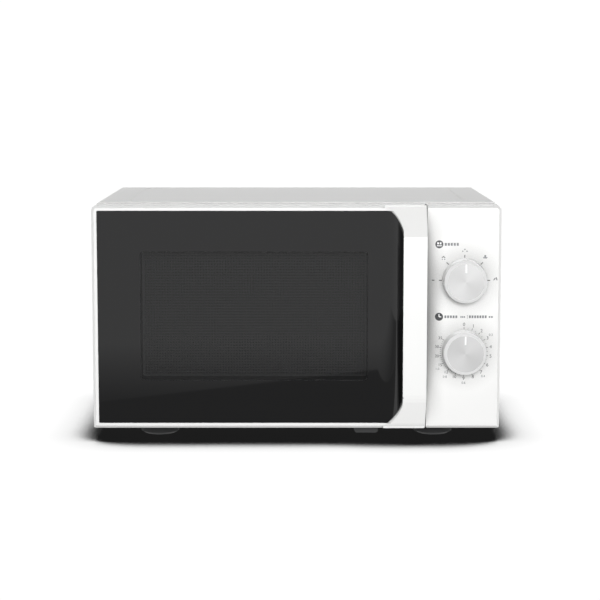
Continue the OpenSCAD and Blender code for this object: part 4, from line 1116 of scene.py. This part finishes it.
@dataclass
class FanRotor:
    """Fan wheel with twisted, round-tipped blades on the CAD spindle's axis."""

    finishes: Finishes
    blades: int = 5
    hub_r: float = 9 * MM
    root_pitch_deg: float = 38.0
    tip_pitch_deg: float = 20.0
    thickness: float = 1.4 * MM
    chord_root: float = 18 * MM
    chord_tip: float = 27 * MM
    camber: float = 1.6 * MM
    tip_gap: float = 6 * MM
    hub_half: float = 5.5 * MM
    half_depth: float = 5 * MM
    spindle_r: float = 2 * MM

    def build(self) -> list[Object]:
        """Builds the hub, the spindle and the blades as one moulding.

        Returns:
            The rotor piece, in place of its CAD node.
        """
        low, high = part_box("fan_blade")
        x, _, z = find_joint("fan_spin")["pos_m"]
        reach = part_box("fan_shroud")[1].z - z - self.tip_gap
        plane = high.y - self.hub_half
        bm = bmesh.new()
        circle = [(math.cos(math.tau * k / 40), math.sin(math.tau * k / 40)) for k in range(40)]
        prism(bm, [(self.hub_r * a, self.hub_r * b) for a, b in circle], x, z, plane - self.hub_half, high.y)
        prism(bm, [(self.spindle_r * a, self.spindle_r * b) for a, b in circle], x, z, low.y, plane)
        for i in range(self.blades):
            self.blade(bm, Vector((x, plane, z)), math.tau * i / self.blades, reach)
        piece = mesh_from("fan_wheel", bm)
        dress(piece, self.finishes.pp_grey.make())
        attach(piece, "fan")
        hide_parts("fan_blade")
        return [piece]

    def blade(self, bm: bmesh.types.BMesh, hub: Vector, turn: float, reach: float) -> None:
        """Adds one twisted blade.

        Args:
            bm: The bmesh to add to.
            hub: Centre of the hub.
            turn: The blade's place round the axis, in radians.
            reach: Radius of the blade's tip.
        """
        rows, cols = 8, 6
        grid = []
        for i in range(rows + 1):
            share = i / rows
            r = self.hub_r * 0.9 + (reach - self.hub_r * 0.9) * share
            pitch = math.radians(self.root_pitch_deg + (self.tip_pitch_deg - self.root_pitch_deg) * share)
            chord = self.chord_root + (self.chord_tip - self.chord_root) * share
            chord *= 1 - 0.35 * max(share - 0.8, 0) / 0.2
            row = []
            for j in range(cols + 1):
                s = (j / cols - 0.5) * chord
                lift = self.camber * (1 - (2 * j / cols - 1) ** 2)
                around = turn + s * math.cos(pitch) / r
                row.append((hub.x + r * math.cos(around), s * math.sin(pitch) - lift,
                            hub.z + r * math.sin(around)))
            grid.append(row)
        sheets = []
        for side in (-1, 1):
            skin = hub.y + side * self.thickness / 2
            sheets.append([[bm.verts.new((px, skin + max(min(py, self.half_depth), -self.half_depth), pz))
                            for px, py, pz in row] for row in grid])
        front, rear = sheets
        for i in range(rows):
            for j in range(cols):
                bm.faces.new((front[i][j], front[i + 1][j], front[i + 1][j + 1], front[i][j + 1]))
                bm.faces.new((rear[i][j], rear[i][j + 1], rear[i + 1][j + 1], rear[i + 1][j]))
        rim = [(i, 0) for i in range(rows + 1)] + [(rows, j) for j in range(1, cols + 1)]
        rim += [(i, cols) for i in range(rows - 1, -1, -1)] + [(0, j) for j in range(cols - 1, 0, -1)]
        for (a, b), (c, d) in zip(rim, rim[1:] + rim[:1]):
            bm.faces.new((front[a][b], front[c][d], rear[c][d], rear[a][b]))


# ----------------------------------------------------------------- studio


@dataclass(frozen=True)
class SoftBox:
    """One soft box: where it stands, as seen from the oven, and how bright it is.

    The level is what a white card that faces it would show, 1 being full white.
    A box that isn't mirrored lights the oven but doesn't show in its glossy faces.
    """

    name: str
    azimuth_deg: float
    elevation_deg: float
    distance: float
    width: float
    height: float
    level: float
    mirrored: bool = False

    def build(self, aim: Vector) -> Object:
        """Hangs the light and points it at the oven.

        Args:
            aim: What it points at.

        Returns:
            The light.
        """
        turn, lift = math.radians(self.azimuth_deg), math.radians(self.elevation_deg)
        way = Vector((math.sin(turn) * math.cos(lift), -math.cos(turn) * math.cos(lift), math.sin(lift)))
        data = bpy.data.lights.new(self.name, "AREA")
        data.shape, data.size, data.size_y = "RECTANGLE", self.width, self.height
        data.energy = self.level * (math.pi * self.distance) ** 2
        light = bpy.data.objects.new(self.name, data)
        light.visible_glossy = self.mirrored
        bpy.context.scene.collection.objects.link(light)
        light.location = aim + way * self.distance
        light.rotation_euler = (-way).to_track_quat("-Z", "Y").to_euler()
        return light


@dataclass
class Studio:
    """White table, soft boxes all round and the camera."""

    camera_x: float = 3.9 * MM
    camera_z: float = 390.6 * MM
    distance: float = 1935 * MM
    tilt_deg: float = 6.93
    lens_mm: float = 108.8
    table_size: float = 12.0
    white: float = 1.03
    bounce: float = 0.42
    contact: float = 75 * MM
    # Share of open sky where each part of the painted contact shadow starts and ends, and how dark it goes
    contact_steps: tuple[tuple[float, float, float], ...] = ((0.56, 0.79, 0.014), (0.74, 1.0, 0.84))
    card_left: float = -0.9
    card_right: float = 0.6
    card_far: float = 1.6
    card_near: float = 60 * MM
    flag_level: float = 0.37
    flag_rim: float = 0.45
    fade_from: float = 270 * MM
    fade_to: float = 740 * MM
    flag_left: tuple[float, float] = (-210 * MM, 272 * MM)
    flag_right: tuple[float, float] = (100 * MM, 492 * MM)
    boxes: tuple[SoftBox, ...] = (
        SoftBox("key_front_right", 5, 13, 2.6, 1.1, 0.8, 0.80, mirrored=True),
        SoftBox("side_left", -75, 4, 2.2, 0.9, 1.2, 0.10),
        SoftBox("rear_top", 180, 35, 2.4, 1.6, 0.9, 0.24),
        SoftBox("rear_right", 130, 12, 2.4, 1.2, 1.2, 0.60),
        SoftBox("rear_left", -130, 12, 2.4, 1.2, 1.2, 0.60),
    )

    def camera(self) -> Object:
        """Places the camera in front of the oven, a little above it.

        Returns:
            The camera.
        """
        data = bpy.data.cameras.new("camera")
        data.lens, data.sensor_width = self.lens_mm, 36.0
        data.clip_end = 50
        view = bpy.data.objects.new("camera", data)
        bpy.context.scene.collection.objects.link(view)
        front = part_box("control_panel")[0].y
        view.location = (self.camera_x, front - self.distance, self.camera_z)
        view.rotation_euler = (math.radians(90 - self.tilt_deg), 0, 0)
        bpy.context.scene.camera = view
        return view

    def glow(self, name: str, level: float, contact: bool = False) -> Material:
        """White table paper, glowing evenly, with a shadow painted in where asked.

        Args:
            name: The material's name.
            level: Its brightness in the open.
            contact: Whether a contact shadow is painted in, dark where the oven stands close over it.

        Returns:
            The material.
        """
        material = bpy.data.materials.new(name)
        material.use_nodes = True
        tree = material.node_tree
        tree.nodes.clear()
        shine = add_node(tree, "ShaderNodeEmission", {"Strength": level})
        if contact:
            # Painted contact shadow: ambient occlusion darkens the paper's glow under and beside the oven
            reach = add_node(tree, "ShaderNodeAmbientOcclusion", {"Distance": self.contact}, samples=24)
            share = level
            for low, high, least in self.contact_steps:
                step = add_node(tree, "ShaderNodeMapRange",
                                {"Value": reach.outputs["AO"], "From Min": low, "From Max": high,
                                 "To Min": least}, interpolation_type="SMOOTHSTEP")
                share = add_node(tree, "ShaderNodeMath", {0: step.outputs[0], 1: share},
                                 operation="MULTIPLY").outputs[0]
            tree.links.new(share, shine.inputs["Strength"])
        add_node(tree, "ShaderNodeOutputMaterial", {"Surface": shine.outputs[0]})
        return material

    def flag(self) -> Material:
        """Grey card with a soft rim, laid in front to give the door's face its slanted reflection.

        Returns:
            The card's material.
        """
        material = bpy.data.materials.new("grey_flag_card")
        material.use_nodes = True
        tree = material.node_tree
        tree.nodes.clear()
        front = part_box("control_panel")[0].y
        (x0, d0), (x1, d1) = self.flag_left, self.flag_right
        slope = (d1 - d0) / (x1 - x0)
        place = add_node(tree, "ShaderNodeTexCoord").outputs["Object"]
        spot = add_node(tree, "ShaderNodeSeparateXYZ", {0: place})
        rim = add_node(tree, "ShaderNodeMath", {0: spot.outputs["X"], 1: slope, 2: d0 - slope * x0},
                       operation="MULTIPLY_ADD")
        ahead = add_node(tree, "ShaderNodeMath", {0: front, 1: spot.outputs["Y"]}, operation="SUBTRACT")
        fade = add_node(tree, "ShaderNodeMapRange",
                        {"Value": ahead.outputs[0], "From Min": self.fade_from, "From Max": self.fade_to,
                         "To Min": self.flag_rim, "To Max": self.white})
        inside = add_node(tree, "ShaderNodeMath", {0: ahead.outputs[0], 1: rim.outputs[0]},
                          operation="GREATER_THAN")
        level = add_node(tree, "ShaderNodeMix",
                         {0: inside.outputs[0], 2: self.flag_level, 3: fade.outputs[0]}, data_type="FLOAT")
        shine = add_node(tree, "ShaderNodeEmission", {"Strength": level.outputs[0]})
        add_node(tree, "ShaderNodeOutputMaterial", {"Surface": shine.outputs[0]})
        return material

    def sheet(self, name: str, corners: tuple[tuple[float, float], ...], z: float,
              material: Material) -> Object:
        """Lays one flat sheet of the set.

        Args:
            name: Its name.
            corners: Its corners in X and Y.
            z: Its height.
            material: What it is made of.

        Returns:
            The sheet.
        """
        bm = bmesh.new()
        bm.faces.new([bm.verts.new((x, y, z)) for x, y in corners])
        piece = mesh_from(name, bm)
        dress(piece, material)
        return piece

    def table(self) -> None:
        """Lays the white table, its bounce and the flag card, each seen by its own kind of ray."""
        size = self.table_size
        square = ((-size, -size), (size, -size), (size, size), (-size, size))
        seen = self.sheet("floor", square, -0.1 * MM,
                          self.glow("table_paper_white_painted_shadow", self.white, contact=True))
        seen.visible_diffuse = seen.visible_glossy = False
        lit = self.sheet("floor_bounce", square, -0.2 * MM, self.glow("table_bounce", self.bounce))
        lit.visible_camera = lit.visible_glossy = lit.visible_transmission = False
        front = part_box("control_panel")[0].y
        left, right = self.card_left, self.card_right
        far, near = front - self.card_far, front - self.card_near
        ahead = ((left, far), (right, far), (right, near), (left, near))
        mirror = self.sheet("floor_gloss", square, -0.4 * MM, self.glow("table_gloss_white", self.white))
        card = self.sheet("floor_flag", ahead, -0.3 * MM, self.flag())
        for piece in (mirror, card):
            piece.visible_camera = piece.visible_diffuse = piece.visible_transmission = False

    def world(self) -> None:
        """Surrounds the set with white that shows behind it and in reflections."""
        world = bpy.data.worlds.new("studio")
        bpy.context.scene.world = world
        world.use_nodes = True
        back = world.node_tree.nodes["Background"]
        back.inputs["Color"].default_value = (1, 1, 1, 1)
        back.inputs["Strength"].default_value = self.white
        world.cycles_visibility.diffuse = False

    def build(self) -> None:
        """Sets up the whole studio."""
        self.camera()
        self.table()
        self.world()
        aim = Vector((0, 0, 0.13))
        for box in self.boxes:
            box.build(aim)
        bpy.context.scene.view_settings.view_transform = "Standard"


def main() -> None:
    """Builds the oven's looks piece by piece, then the studio."""
    logging.basicConfig(level=logging.INFO, format="%(message)s")
    finishes = Finishes()
    for node, finish in finishes.by_node().items():
        dress(frame["nodes"][node], finish.make())
    LOG.info("dressed %d CAD nodes", len(finishes.by_node()))
    for part in (DoorFace(finishes), PerforatedScreen(finishes),
                 KnobTrim(finishes, "power_knob_cap", "power_control"),
                 KnobTrim(finishes, "timer_knob_cap", "timer_control"),
                 DialPrint(finishes), LatchSpring(finishes), FanRotor(finishes)):
        for piece in part.build():
            LOG.info("built %s: %d faces", piece.name, len(piece.data.polygons))
    Studio().build()


if __name__ == "__main__":
    main()
